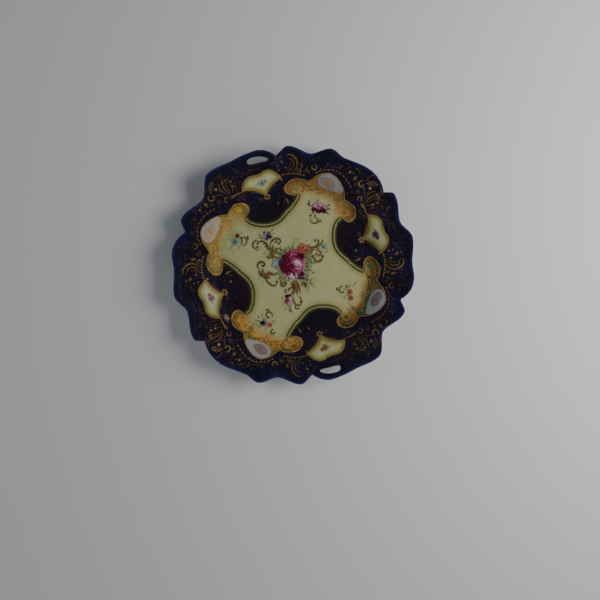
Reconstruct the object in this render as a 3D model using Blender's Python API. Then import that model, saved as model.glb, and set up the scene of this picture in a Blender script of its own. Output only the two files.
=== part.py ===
"""Moulded porcelain dessert plate with two pierced handles.

Metres, +Z up out of the face, origin at the middle of the foot ring's base.
The porcelain is one fired body: face, verge, ruffled rim, two handles and
foot ring.  The raised gilding and the raised enamels are separate bodies laid
on the glaze, each with a thin gap below it.
"""
import math

import bmesh
import bpy
from mathutils import Vector

for old in list(bpy.data.objects):
    bpy.data.objects.remove(old, do_unlink=True)

MM = 0.001
GRID = 1.09 * MM              # one square of the draughting grid the ornament is drawn on

# --- porcelain profile -------------------------------------------------------
FLOOR_Z = 7.0 * MM            # top of the well floor
WELL_R = 80.0 * MM            # where the verge starts to rise
SHOULDER_R = 103.0 * MM       # where the verge meets the rim
SHOULDER_Z = 16.5 * MM
RIM_SLOPE = 0.22              # rise of the rim per unit of radius
LIP_FLARE = 0.6 * MM          # extra lift at the edge
RUFFLE = 1.5 * MM             # how far lobes rise and notches dip at the edge
RIM_MEAN_R = 129.0 * MM
RIM_SWING = 6.5 * MM
LIP_ROUND = 0.9 * MM
LIP_T = 2.6 * MM              # thickness at the edge
RIM_T = 3.5 * MM              # vertical thickness at the shoulder
WALL_T = 4.4 * MM             # vertical thickness below the verge
FLOOR_T = 4.2 * MM

# --- foot ring ---------------------------------------------------------------
FOOT_OUT_ROOT_R = 82.5 * MM
FOOT_OUT_R = 80.4 * MM
FOOT_BASE_OUT_R = 79.8 * MM
FOOT_BASE_IN_R = 75.2 * MM
FOOT_IN_R = 74.6 * MM
FOOT_IN_ROOT_R = 73.0 * MM
FOOT_BEVEL = 0.6 * MM

# --- rim outline: turning points of one half turn, repeated by 180 degrees -----
# (angle in degrees, radius in mm, kind).  A dish is a soft dip, a cusp a sharp one.
RIM_TURNS = (
    (2.0, 130.0, "dish"), (14.0, 133.5, "lobe"), (22.5, 126.3, "dish"),
    (36.0, 134.5, "lobe"), (39.7, 126.8, "cusp"), (51.0, 133.2, "lobe"),
    (65.5, 129.3, "dish"), (72.0, 133.0, "lobe"), (82.0, 123.3, "dish"),
    (93.2, 129.8, "lobe"), (99.5, 121.2, "cusp"), (110.5, 131.3, "lobe"),
    (120.0, 131.6, "dish"), (133.0, 136.2, "lobe"), (144.0, 122.4, "dish"),
    (157.3, 131.9, "lobe"), (162.7, 123.4, "cusp"), (173.5, 132.6, "lobe"),
)
CUSP_POWER = 2.2

# Angular stations of one sixth turn, closer together where the rim is notched.
PHASES = (0.0, 4.0, 8.0, 11.5, 14.5, 17.5, 20.0, 22.5, 25.5, 29.0,
          32.5, 35.5, 37.3, 38.8, 40.3, 42.0, 44.0, 47.0, 51.0, 55.5)

# --- handle slots (grid squares), the second one is the first turned 180 degrees
HANDLE_SLOT = ((-46.6, 103.3), (-45.5, 100.5), (-41.7, 100.8), (-34.9, 102.4),
               (-27.5, 104.2), (-26.1, 105.8), (-28.9, 107.2), (-33.9, 107.9),
               (-39.4, 107.3), (-44.2, 105.7))

# --- ornament (grid squares), one quarter, repeated by 90 degrees ------------
RESERVE_QUARTER = (
    (7, 71), (2, 71.3), (-3, 71.7), (-7.6, 73.6), (-9.4, 77.6), (-7.4, 82),
    (-2, 85.2), (4, 86.7), (9.5, 86.6), (14.5, 84.6), (18.5, 87.2), (24, 90.8),
    (30, 92.6), (35, 92.6), (40, 90.2), (44, 86.5), (47.3, 81.5), (49.6, 76),
    (50.8, 71), (51.4, 66.6), (55.6, 64), (60, 59.8), (62.5, 54.8),
    (62.6, 49.6), (60.2, 45.8), (56, 44.4), (51.6, 46.4), (48, 49.2), (44, 46.5),
    (41.5, 42), (40, 36), (39.7, 29.5), (40, 25), (42, 18), (46, 12),
    (50.5, 8), (55, 4), (60, -0.5), (66, -4.5))
CARTOUCHE = ((-51.4, 74.8), (-51, 79.5), (-49.2, 84.5), (-45.6, 88), (-40, 89.6),
             (-34.5, 91.4), (-30, 94.4), (-25, 95.6), (-20, 94), (-16.2, 91.2),
             (-13.2, 88.6), (-17.2, 85), (-22.2, 80.5), (-25.8, 75.5), (-28.2, 71.4),
             (-33, 73.6), (-39, 75), (-45.5, 75.2))
MEDALLION = ((24.2, 85.6), (26.4, 89.2), (30.4, 91.1), (34.8, 91), (39.2, 88.8),
             (42.8, 85.5), (46, 80.9), (48.2, 76), (47.2, 74.3), (43.5, 74.9),
             (39, 76.1), (34.5, 77.8), (30, 79.8), (26.2, 82.4))
ROSE_R = 12.5                 # grid squares
ROSE_AT = (0.5, 4.5)
ROSE_PETALS = 6

LINE_W = 1.5 * MM             # width of a raised gilt line
LINE_H = 0.6 * MM             # its height
ENAMEL_H = 0.6 * MM
LAY_GAP = 0.40 * MM           # between the glaze and what lies on it
STEP_FLAT = 5.2 * MM
STEP_BENT = 2.9 * MM


def ease(t):
    return t * t * (3.0 - 2.0 * t)


def rim_radius(theta):
    """Outline radius at an angle in radians."""
    deg = math.degrees(theta) % 180.0
    turns = RIM_TURNS + ((RIM_TURNS[0][0] + 180.0,) + RIM_TURNS[0][1:],)
    if deg < turns[0][0]:
        deg += 180.0
    for (a0, r0, k0), (a1, r1, k1) in zip(turns, turns[1:]):
        if a0 <= deg <= a1:
            t = (deg - a0) / (a1 - a0)
            if k0 == "cusp":
                f = 1.0 - (1.0 - t) ** CUSP_POWER
            elif k1 == "cusp":
                f = t ** CUSP_POWER * 0.35 + ease(t) * 0.65
            else:
                f = ease(t)
            return (r0 + (r1 - r0) * f) * MM
    return turns[0][1] * MM


def top_z(r, theta):
    """Height of the glazed face."""
    if r <= WELL_R:
        return FLOOR_Z
    if r < SHOULDER_R:
        span = SHOULDER_R - WELL_R
        t = (r - WELL_R) / span
        return (FLOOR_Z * (2 * t ** 3 - 3 * t ** 2 + 1)
                + SHOULDER_Z * (3 * t ** 2 - 2 * t ** 3)
                + RIM_SLOPE * span * (t ** 3 - t ** 2))
    edge = rim_radius(theta)
    s = (r - SHOULDER_R) / (edge - SHOULDER_R)
    wave = RUFFLE * (edge - RIM_MEAN_R) / RIM_SWING
    return SHOULDER_Z + RIM_SLOPE * (r - SHOULDER_R) + (LIP_FLARE + wave) * s * s


def face_point(x, y):
    return Vector((x, y, top_z(math.hypot(x, y), math.atan2(y, x))))


def face_normal(x, y):
    d = 0.5 * MM
    gx = face_point(x + d, y).z - face_point(x - d, y).z
    gy = face_point(x, y + d).z - face_point(x, y - d).z
    return Vector((-gx / (2 * d), -gy / (2 * d), 1.0)).normalized()


def lifted(x, y, height):
    return face_point(x, y) + face_normal(x, y) * height


def material(name, colour, metallic, rough):
    mat = bpy.data.materials.new(name)
    mat.use_nodes = True
    shader = mat.node_tree.nodes["Principled BSDF"]
    shader.inputs["Base Color"].default_value = (*colour, 1.0)
    shader.inputs["Metallic"].default_value = metallic
    shader.inputs["Roughness"].default_value = rough
    mat.diffuse_color = (*colour, 1.0)
    return mat


def make_object(name, bm, mat, smooth_deg=35.0):
    bmesh.ops.recalc_face_normals(bm, faces=bm.faces)
    for face in bm.faces:
        face.smooth = True
    for edge in bm.edges:
        edge.smooth = edge.calc_face_angle(0.0) < math.radians(smooth_deg)
    mesh = bpy.data.meshes.new(name)
    bm.to_mesh(mesh)
    bm.free()
    if mat is not None:
        mesh.materials.append(mat)
    obj = bpy.data.objects.new(name, mesh)
    bpy.context.scene.collection.objects.link(obj)
    return obj


def porcelain_rings(theta):
    """(radius, height) from the middle of the face round the lip to the middle below."""
    edge = rim_radius(theta)
    inner_edge = edge - LIP_ROUND

    def top(r):
        return (r, top_z(r, theta))

    def rim_r(s):
        return SHOULDER_R + (inner_edge - SHOULDER_R) * s

    def under(s):
        thick = RIM_T + (LIP_T - RIM_T) * s
        return (rim_r(s), top_z(rim_r(s), theta) - thick)

    lip_z = top_z(edge, theta)
    rows = [top(40.0 * MM), top(WELL_R)]
    rows += [top(r * MM) for r in (84.0, 88.0, 91.5, 95.0, 99.0, 103.0)]
    rows += [top(rim_r(s)) for s in (0.2, 0.4, 0.6, 0.8, 1.0)]
    rows += [(edge - 0.12 * MM, lip_z - 0.75 * MM),
             (edge - 0.12 * MM, lip_z - 1.85 * MM)]
    rows += [under(s) for s in (1.0, 0.75, 0.5, 0.25, 0.0)]
    for r, thick in ((98.0 * MM, 0.85), (92.5 * MM, 1.0), (87.0 * MM, 1.0)):
        rows.append((r, top_z(r, theta) - (RIM_T + (WALL_T - RIM_T) * thick)))
    root_z = FLOOR_Z - FLOOR_T
    rows += [(FOOT_OUT_ROOT_R, root_z), (FOOT_OUT_R, FOOT_BEVEL),
             (FOOT_BASE_OUT_R, 0.0), (FOOT_BASE_IN_R, 0.0),
             (FOOT_IN_R, FOOT_BEVEL), (FOOT_IN_ROOT_R, root_z),
             (38.0 * MM, root_z)]
    return rows


def build_porcelain(mat):
    bm = bmesh.new()
    stations = [math.radians(60.0 * k + p) for k in range(6) for p in PHASES]
    columns = []
    for theta in stations:
        columns.append([bm.verts.new((r * math.cos(theta), r * math.sin(theta), z))
                        for r, z in porcelain_rings(theta)])
    top_pole = bm.verts.new((0.0, 0.0, FLOOR_Z))
    low_pole = bm.verts.new((0.0, 0.0, FLOOR_Z - FLOOR_T))
    n = len(columns)
    for i in range(n):
        a, b = columns[i], columns[(i + 1) % n]
        bm.faces.new((top_pole, a[0], b[0]))
        for k in range(len(a) - 1):
            bm.faces.new((a[k], a[k + 1], b[k + 1], b[k]))
        bm.faces.new((a[-1], low_pole, b[-1]))
    bmesh.ops.triangulate(bm, faces=bm.faces)
    body = make_object("porcelain_body", bm, mat)
    for k, turn in enumerate((0.0, math.pi)):
        cutter = slot_cutter("handle_slot_cutter_%d" % (k + 1), turn)
        cut = body.modifiers.new("handle_slot_%d" % (k + 1), "BOOLEAN")
        cut.operation = "DIFFERENCE"
        cut.solver = "EXACT"
        cut.object = cutter
    return body


def slot_cutter(name, turn):
    bm = bmesh.new()
    c, s = math.cos(turn), math.sin(turn)
    outline = [((x * c - y * s) * GRID, (x * s + y * c) * GRID)
               for x, y in smooth_loop(HANDLE_SLOT, 2)]
    low = [bm.verts.new((x, y, 10.0 * MM)) for x, y in outline]
    high = [bm.verts.new((x, y, 32.0 * MM)) for x, y in outline]
    n = len(outline)
    bm.faces.new(low)
    bm.faces.new(high)
    for i in range(n):
        j = (i + 1) % n
        bm.faces.new((low[i], low[j], high[j], high[i]))
    obj = make_object(name, bm, None)
    obj.display_type = "WIRE"
    obj.hide_render = True
    return obj


def smooth_loop(points, per_span):
    """Closed curve through the points."""
    out = []
    n = len(points)
    for i in range(n):
        p0, p1, p2, p3 = (points[(i + k) % n] for k in (-1, 0, 1, 2))
        for j in range(per_span):
            t = j / per_span
            w = (-0.5 * t ** 3 + t ** 2 - 0.5 * t, 1.5 * t ** 3 - 2.5 * t ** 2 + 1.0,
                 -1.5 * t ** 3 + 2.0 * t ** 2 + 0.5 * t, 0.5 * t ** 3 - 0.5 * t ** 2)
            out.append(tuple(sum(wk * pk[c] for wk, pk in zip(w, (p0, p1, p2, p3)))
                             for c in (0, 1)))
    return out


def quarter_turn(points, k):
    """Points turned clockwise by k right angles."""
    out = []
    for x, y in points:
        for _ in range(k % 4):
            x, y = y, -x
        out.append((x, y))
    return out


def even_loop(points):
    """The closed curve walked in steps that shorten where the face bends."""
    fine = [Vector((x * GRID, y * GRID)) for x, y in smooth_loop(points, 10)]
    out = [fine[0]]
    run = 0.0
    for a, b in zip(fine, fine[1:] + fine[:1]):
        run += (b - a).length
        step = STEP_BENT if 76.0 * MM < b.length < 108.0 * MM else STEP_FLAT
        if run >= step:
            out.append(b)
            run = 0.0
    if (out[-1] - out[0]).length < 0.6 * STEP_BENT:
        out.pop()
    return out


def gilt_line(name, points, mat):
    """A raised line of gilding laid on the face along a closed curve."""
    bm = bmesh.new()
    path = even_loop(points)
    n = len(path)
    rings = []
    for i, p in enumerate(path):
        along = (path[(i + 1) % n] - path[i - 1]).normalized()
        side = Vector((-along.y, along.x))
        ring = []
        for across, height in ((-0.5, 0.0), (-0.28, 1.0), (0.28, 1.0), (0.5, 0.0)):
            q = p + side * (across * LINE_W)
            ring.append(bm.verts.new(lifted(q.x, q.y, LAY_GAP + height * LINE_H)))
        rings.append(ring)
    for i in range(n):
        a, b = rings[i], rings[(i + 1) % n]
        for k in range(4):
            m = (k + 1) % 4
            bm.faces.new((a[k], b[k], b[m], a[m]))
    bmesh.ops.triangulate(bm, faces=bm.faces)
    return make_object(name, bm, mat)


def enamel_pad(name, outline, centre, shells, crown, mat):
    """A thin domed pad of raised enamel following the face."""
    bm = bmesh.new()
    cx, cy = centre
    n = len(outline)
    layers = []
    for low in (False, True):
        rows = []
        for s in shells:
            row = []
            for x, y in outline:
                px, py = (cx + (x - cx) * s) * GRID, (cy + (y - cy) * s) * GRID
                rise = ENAMEL_H + crown * (1.0 - s * s)
                row.append(bm.verts.new(lifted(px, py, LAY_GAP + (0.0 if low else rise))))
            rows.append(row)
        mid_rise = 0.0 if low else ENAMEL_H + crown
        mid = bm.verts.new(lifted(cx * GRID, cy * GRID, LAY_GAP + mid_rise))
        layers.append((rows, mid))
        for a, b in zip(rows, rows[1:]):
            for i in range(n):
                j = (i + 1) % n
                bm.faces.new((a[i], a[j], b[j], b[i]))
        for i in range(n):
            bm.faces.new((rows[-1][i], rows[-1][(i + 1) % n], mid))
    upper, lower = layers[0][0][0], layers[1][0][0]
    for i in range(n):
        j = (i + 1) % n
        bm.faces.new((upper[i], upper[j], lower[j], lower[i]))
    bmesh.ops.triangulate(bm, faces=bm.faces)
    return make_object(name, bm, mat)


cobalt = material("cobalt_glaze", (0.012, 0.012, 0.075), 0.0, 0.08)
build_porcelain(cobalt)

reserve = []
for k in range(4):
    reserve += quarter_turn(RESERVE_QUARTER, k)
gilt_line("reserve_gilt_line", reserve, material("reserve_gilding", (0.83, 0.62, 0.26), 1.0, 0.28))

for k, side in enumerate(("top", "right", "bottom", "left")):
    gilt_line("cartouche_gilt_" + side, quarter_turn(CARTOUCHE, k),
              material("cartouche_gilding_" + side, (0.80, 0.60, 0.25), 1.0, 0.30))

for k, corner in enumerate(("ne", "se", "sw", "nw")):
    outline = quarter_turn(MEDALLION, k)
    centre = quarter_turn([(37.0, 83.0)], k)[0]
    enamel_pad("medallion_enamel_" + corner, outline, centre, (1.0, 0.66, 0.33),
               0.0, material("lace_enamel_" + corner, (0.72, 0.72, 0.66), 0.0, 0.25))

petals = []
for k in range(ROSE_PETALS * 4):
    a = 2.0 * math.pi * k / (ROSE_PETALS * 4)
    r = ROSE_R * (0.92 + 0.08 * math.cos(ROSE_PETALS * a))
    petals.append((ROSE_AT[0] + r * math.cos(a), ROSE_AT[1] + r * math.sin(a)))
enamel_pad("rose_enamel", petals, ROSE_AT, (1.0, 0.6, 0.3), 0.5 * MM,
           material("rose_enamel_glaze", (0.55, 0.06, 0.12), 0.0, 0.2))
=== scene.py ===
import math
import random

import bpy
import bmesh
import numpy as np
from mathutils import Matrix, Vector, noise
from mathutils.geometry import delaunay_2d_cdt


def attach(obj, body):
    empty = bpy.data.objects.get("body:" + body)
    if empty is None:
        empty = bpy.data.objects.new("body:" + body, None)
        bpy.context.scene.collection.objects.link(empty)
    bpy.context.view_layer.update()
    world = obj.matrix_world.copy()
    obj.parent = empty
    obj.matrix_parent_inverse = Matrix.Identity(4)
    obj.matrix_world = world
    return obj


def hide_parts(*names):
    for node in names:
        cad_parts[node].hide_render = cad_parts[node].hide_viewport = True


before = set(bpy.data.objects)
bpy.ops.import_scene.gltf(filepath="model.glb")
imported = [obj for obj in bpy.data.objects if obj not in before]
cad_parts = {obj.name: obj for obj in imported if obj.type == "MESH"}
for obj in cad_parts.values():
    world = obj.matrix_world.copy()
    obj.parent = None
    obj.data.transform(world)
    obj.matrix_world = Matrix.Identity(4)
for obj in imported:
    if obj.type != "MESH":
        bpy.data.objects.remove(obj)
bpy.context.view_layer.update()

random.seed(7)
MM = 0.001
G = 1.09 * MM                      # one square of the grid the ornament is drawn on

# ------------------------------------------------------------------ the face
FLOOR_Z, WELL_R, SHOULDER_R, SHOULDER_Z = 7.0 * MM, 80.0 * MM, 103.0 * MM, 16.5 * MM
RIM_SLOPE, LIP_FLARE, RUFFLE = 0.22, 0.6 * MM, 1.5 * MM
RIM_MEAN_R, RIM_SWING = 129.0 * MM, 6.5 * MM
LIP_T, RIM_T, WALL_T, FLOOR_T = 2.6 * MM, 3.5 * MM, 4.4 * MM, 4.2 * MM
LIP_R = 1.3 * MM
RIM_TURNS = (
    (2.0, 130.0, "dish"), (14.0, 133.5, "lobe"), (22.5, 126.3, "dish"),
    (36.0, 134.5, "lobe"), (39.7, 126.8, "cusp"), (51.0, 133.2, "lobe"),
    (65.5, 129.3, "dish"), (72.0, 133.0, "lobe"), (82.0, 123.3, "dish"),
    (93.2, 129.8, "lobe"), (99.5, 121.2, "cusp"), (110.5, 131.3, "lobe"),
    (120.0, 131.6, "dish"), (133.0, 136.2, "lobe"), (144.0, 122.4, "dish"),
    (157.3, 131.9, "lobe"), (162.7, 123.4, "cusp"), (173.5, 132.6, "lobe"),
)
HANDLE_SLOT = ((-46.6, 103.3), (-45.5, 100.5), (-41.7, 100.8), (-34.9, 102.4),
               (-27.5, 104.2), (-26.1, 105.8), (-28.9, 107.2), (-33.9, 107.9),
               (-39.4, 107.3), (-44.2, 105.7))
CUSPS = [a for a, r, k in RIM_TURNS if k == "cusp"]
CUSPS += [a + 180.0 for a in CUSPS]
DISHES = [22.5, 82.0, 144.0, 202.5, 262.0, 324.0]


def ease(t):
    return t * t * (3.0 - 2.0 * t)


def _rim_one(deg):
    turns = RIM_TURNS + ((RIM_TURNS[0][0] + 180.0,) + RIM_TURNS[0][1:],)
    if deg < turns[0][0]:
        deg += 180.0
    for (a0, r0, k0), (a1, r1, k1) in zip(turns, turns[1:]):
        if a0 <= deg <= a1:
            t = (deg - a0) / (a1 - a0)
            if k0 == "cusp":
                f = 1.0 - (1.0 - t) ** 2.2
            elif k1 == "cusp":
                f = t ** 2.2 * 0.35 + ease(t) * 0.65
            else:
                f = ease(t)
            return (r0 + (r1 - r0) * f) * MM
    return turns[0][1] * MM


RIM_DEG = np.arange(0.0, 180.05, 0.1)
RIM_VAL = np.array([_rim_one(d % 180.0) for d in RIM_DEG])


def rim_radius(theta):
    return np.interp(np.degrees(theta) % 180.0, RIM_DEG, RIM_VAL)


def turn_from(theta, deg):
    return (np.degrees(theta) - deg + 180.0) % 360.0 - 180.0


def face_z(r, theta):
    """Height of the glazed face, with the moulded folds of the rim."""
    r = np.asarray(r, float)
    span = SHOULDER_R - WELL_R
    t = np.clip((r - WELL_R) / span, 0.0, 1.0)
    wall = (FLOOR_Z * (2 * t ** 3 - 3 * t ** 2 + 1) + SHOULDER_Z * (3 * t ** 2 - 2 * t ** 3)
            + RIM_SLOPE * span * (t ** 3 - t ** 2))
    edge = rim_radius(theta)
    s = np.clip((r - SHOULDER_R) / (edge - SHOULDER_R), 0.0, 1.0)
    wave = RUFFLE * (edge - RIM_MEAN_R) / RIM_SWING
    rim = SHOULDER_Z + RIM_SLOPE * (r - SHOULDER_R) + (LIP_FLARE + wave) * s * s
    inset = (edge - r) / MM
    fold = 0.55 * np.exp(-((inset - 5.0) / 2.0) ** 2) - 0.45 * np.exp(-((inset - 9.5) / 2.6) ** 2)
    for a in CUSPS:
        d = turn_from(theta, a)
        fold = fold + 1.0 * np.tanh(d / 0.9) * np.exp(-(d / 6.5) ** 2) * s ** 1.4
    for a in DISHES:
        d = turn_from(theta, a)
        fold = fold - 0.7 * np.exp(-(d / 3.0) ** 2) * s ** 1.3
    rim = rim + fold * MM * np.clip(s * 3.0, 0.0, 1.0)
    return np.where(r <= WELL_R, FLOOR_Z, np.where(r < SHOULDER_R, wall, rim))


def lift(xy, h):
    """Points h millimetres above the face at plan positions in metres."""
    xy = np.asarray(xy, float)

    def z(x, y):
        return face_z(np.hypot(x, y), np.arctan2(y, x))

    d = 0.25 * MM
    x, y = xy[:, 0], xy[:, 1]
    nx = -(z(x + d, y) - z(x - d, y)) / (2 * d)
    ny = -(z(x, y + d) - z(x, y - d)) / (2 * d)
    nrm = np.stack([nx, ny, np.ones_like(nx)], 1)
    nrm /= np.linalg.norm(nrm, axis=1)[:, None]
    p = np.stack([x, y, z(x, y)], 1)
    return p + nrm * (np.asarray(h, float) * MM).reshape(-1, 1)


# --------------------------------------------------------------- colour helpers
def rgb(r, g, b):
    out = []
    for c in (r, g, b):
        c /= 255.0
        out.append(c / 12.92 if c <= 0.04045 else ((c + 0.055) / 1.055) ** 2.4)
    return np.array(out)


def mix(a, b, t):
    t = np.asarray(t, float).reshape(-1, 1)
    return np.asarray(a) * (1 - t) + np.asarray(b) * t


# ------------------------------------------------------------------- materials
def nodes_of(name):
    mat = bpy.data.materials.new(name)
    mat.use_nodes = True
    nt = mat.node_tree
    return mat, nt, nt.nodes["Principled BSDF"]


def glaze_material(name, rough=0.10, coat=0.8, speck=0.10, speck_scale=900.0,
                   cloud=0.12, bump=0.10, bump_scale=320.0, metallic=0.0,
                   rough_swing=0.06, spec=0.5):
    """A painted surface: the colour attribute with pooling, specks and orange peel."""
    mat, nt, bsdf = nodes_of(name)
    N, L = nt.nodes.new, nt.links.new
    co = N("ShaderNodeTexCoord")
    att = N("ShaderNodeAttribute"); att.attribute_name = "paint"
    cl = N("ShaderNodeTexNoise"); cl.inputs["Scale"].default_value = 70.0
    cl.inputs["Detail"].default_value = 4.0
    L(co.outputs["Object"], cl.inputs["Vector"])
    sp = N("ShaderNodeTexNoise"); sp.inputs["Scale"].default_value = speck_scale
    sp.inputs["Detail"].default_value = 3.0
    L(co.outputs["Object"], sp.inputs["Vector"])
    r1 = N("ShaderNodeMapRange")
    r1.inputs["From Min"].default_value = 0.3; r1.inputs["From Max"].default_value = 0.7
    r1.inputs["To Min"].default_value = 1.0 - cloud; r1.inputs["To Max"].default_value = 1.0 + cloud
    L(cl.outputs["Fac"], r1.inputs["Value"])
    r2 = N("ShaderNodeMapRange")
    r2.inputs["From Min"].default_value = 0.3; r2.inputs["From Max"].default_value = 0.7
    r2.inputs["To Min"].default_value = 1.0 - speck; r2.inputs["To Max"].default_value = 1.0 + speck
    L(sp.outputs["Fac"], r2.inputs["Value"])
    mul = N("ShaderNodeMath"); mul.operation = "MULTIPLY"
    L(r1.outputs[0], mul.inputs[0]); L(r2.outputs[0], mul.inputs[1])
    vm = N("ShaderNodeVectorMath"); vm.operation = "SCALE"
    L(att.outputs["Color"], vm.inputs[0]); L(mul.outputs[0], vm.inputs["Scale"])
    L(vm.outputs[0], bsdf.inputs["Base Color"])
    rr = N("ShaderNodeMapRange")
    rr.inputs["From Min"].default_value = 0.3; rr.inputs["From Max"].default_value = 0.7
    rr.inputs["To Min"].default_value = max(0.02, rough - rough_swing)
    rr.inputs["To Max"].default_value = rough + rough_swing
    L(cl.outputs["Fac"], rr.inputs["Value"]); L(rr.outputs[0], bsdf.inputs["Roughness"])
    bn = N("ShaderNodeTexNoise"); bn.inputs["Scale"].default_value = bump_scale
    bn.inputs["Detail"].default_value = 2.0
    L(co.outputs["Object"], bn.inputs["Vector"])
    bp = N("ShaderNodeBump"); bp.inputs["Strength"].default_value = bump
    bp.inputs["Distance"].default_value = 0.0004
    L(bn.outputs["Fac"], bp.inputs["Height"]); L(bp.outputs[0], bsdf.inputs["Normal"])
    bsdf.inputs["Coat Weight"].default_value = coat
    bsdf.inputs["Coat Roughness"].default_value = 0.05
    bsdf.inputs["Metallic"].default_value = metallic
    bsdf.inputs["Specular IOR Level"].default_value = spec
    return mat


M_COBALT = glaze_material("cobalt_and_white_glaze", rough=0.09, coat=0.3, cloud=0.30, speck=0.10, bump=0.05)
M_CREAM = glaze_material("reserve_cream_glaze", rough=0.16, coat=0.3, cloud=0.05, speck=0.05)
M_ENAMEL = glaze_material("flower_enamels", rough=0.26, coat=0.2, cloud=0.10, speck=0.22,
                          speck_scale=1400.0, bump=0.25, bump_scale=900.0)
M_LACE = glaze_material("lace_enamel", rough=0.34, coat=0.1, cloud=0.08, speck=0.18,
                        speck_scale=1500.0, bump=0.35, bump_scale=1200.0)
M_GOLD = glaze_material("rim_gilding", rough=0.27, coat=0.0, cloud=0.18, speck=0.30,
                        speck_scale=700.0, bump=0.30, bump_scale=1000.0, metallic=0.6,
                        rough_swing=0.12)
M_SCROLL = glaze_material("reserve_gilding_antique", rough=0.38, coat=0.2, cloud=0.2, speck=0.30,
                          speck_scale=800.0, bump=0.3, bump_scale=1000.0, metallic=0.35,
                          rough_swing=0.12)


def bisque_material():
    mat, nt, bsdf = nodes_of("unglazed_foot")
    N, L = nt.nodes.new, nt.links.new
    co = N("ShaderNodeTexCoord")
    n1 = N("ShaderNodeTexNoise"); n1.inputs["Scale"].default_value = 500.0
    n1.inputs["Detail"].default_value = 6.0
    L(co.outputs["Object"], n1.inputs["Vector"])
    cr = N("ShaderNodeValToRGB")
    cr.color_ramp.elements[0].position = 0.35
    cr.color_ramp.elements[0].color = (*rgb(150, 138, 118), 1)
    cr.color_ramp.elements[1].position = 0.6
    cr.color_ramp.elements[1].color = (*rgb(214, 208, 194), 1)
    L(n1.outputs["Fac"], cr.inputs["Fac"]); L(cr.outputs["Color"], bsdf.inputs["Base Color"])
    bp = N("ShaderNodeBump"); bp.inputs["Strength"].default_value = 0.5
    bp.inputs["Distance"].default_value = 0.0003
    L(n1.outputs["Fac"], bp.inputs["Height"]); L(bp.outputs[0], bsdf.inputs["Normal"])
    bsdf.inputs["Roughness"].default_value = 0.85
    return mat


M_BISQUE = bisque_material()


# ---------------------------------------------------------------- mesh building
class Paint:
    """Gathers painted or raised shapes that follow the face, for one mesh."""

    def __init__(self):
        self.v, self.f, self.c, self.n = [], [], [], 0

    def add(self, pts3, col, faces):
        k = len(pts3)
        col = np.broadcast_to(np.asarray(col, float).reshape(-1, 3), (k, 3)) \
            if np.asarray(col).size == 3 else np.asarray(col, float)
        self.v.append(pts3)
        self.c.append(np.clip(col, 0, 1))
        n = self.n
        self.f += [tuple(i + n for i in f) for f in faces]
        self.n += k

    def dim(self, gain):
        self.c = [c * np.asarray(gain) for c in self.c]

    def build(self, name, mat, replaces=(), slot=None):
        mesh = bpy.data.meshes.new(name)
        mesh.from_pydata(np.concatenate(self.v).tolist(), [], self.f)
        col = np.concatenate(self.c)
        att = mesh.color_attributes.new("paint", "FLOAT_COLOR", "POINT")
        att.data.foreach_set("color", np.concatenate([col, np.ones((len(col), 1))], 1).ravel())
        mesh.materials.append(mat)
        mesh.polygons.foreach_set("use_smooth", [True] * len(mesh.polygons))
        mesh.update()
        obj = bpy.data.objects.new(name, mesh)
        bpy.context.scene.collection.objects.link(obj)
        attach(obj, "root")
        if replaces:
            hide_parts(*replaces)
        return obj


def curve(pts, step, closed=False):
    """Evenly spaced points of a smooth curve through pts, in grid squares."""
    P = np.asarray(pts, float)
    n = len(P)
    if closed:
        ext = np.vstack([P[-1], P, P[0], P[1]])
        spans = n
    else:
        ext = np.vstack([2 * P[0] - P[1], P, 2 * P[-1] - P[-2]])
        spans = n - 1
    out = []
    for i in range(spans):
        p0, p1, p2, p3 = ext[i], ext[i + 1], ext[i + 2], ext[i + 3]
        m = max(4, int(np.linalg.norm(p2 - p1) / step * 3))
        t = np.linspace(0, 1, m, endpoint=False)[:, None]
        out.append(0.5 * ((2 * p1) + (p2 - p0) * t + (2 * p0 - 5 * p1 + 4 * p2 - p3) * t ** 2
                          + (3 * p1 - p0 - 3 * p2 + p3) * t ** 3))
    fine = np.vstack(out + [P[:1] if closed else P[-1:]])
    d = np.r_[0, np.cumsum(np.linalg.norm(np.diff(fine, axis=0), axis=1))]
    k = max(3, int(round(d[-1] / step)))
    at = np.linspace(0, d[-1], k + 1)
    if closed:
        at = at[:-1]
    return np.stack([np.interp(at, d, fine[:, j]) for j in (0, 1)], 1)


CROSS_U = np.array([-1.0, -0.62, 0.0, 0.62, 1.0])
CROSS_H = np.array([0.0, 0.78, 1.0, 0.78, 0.0])


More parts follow.
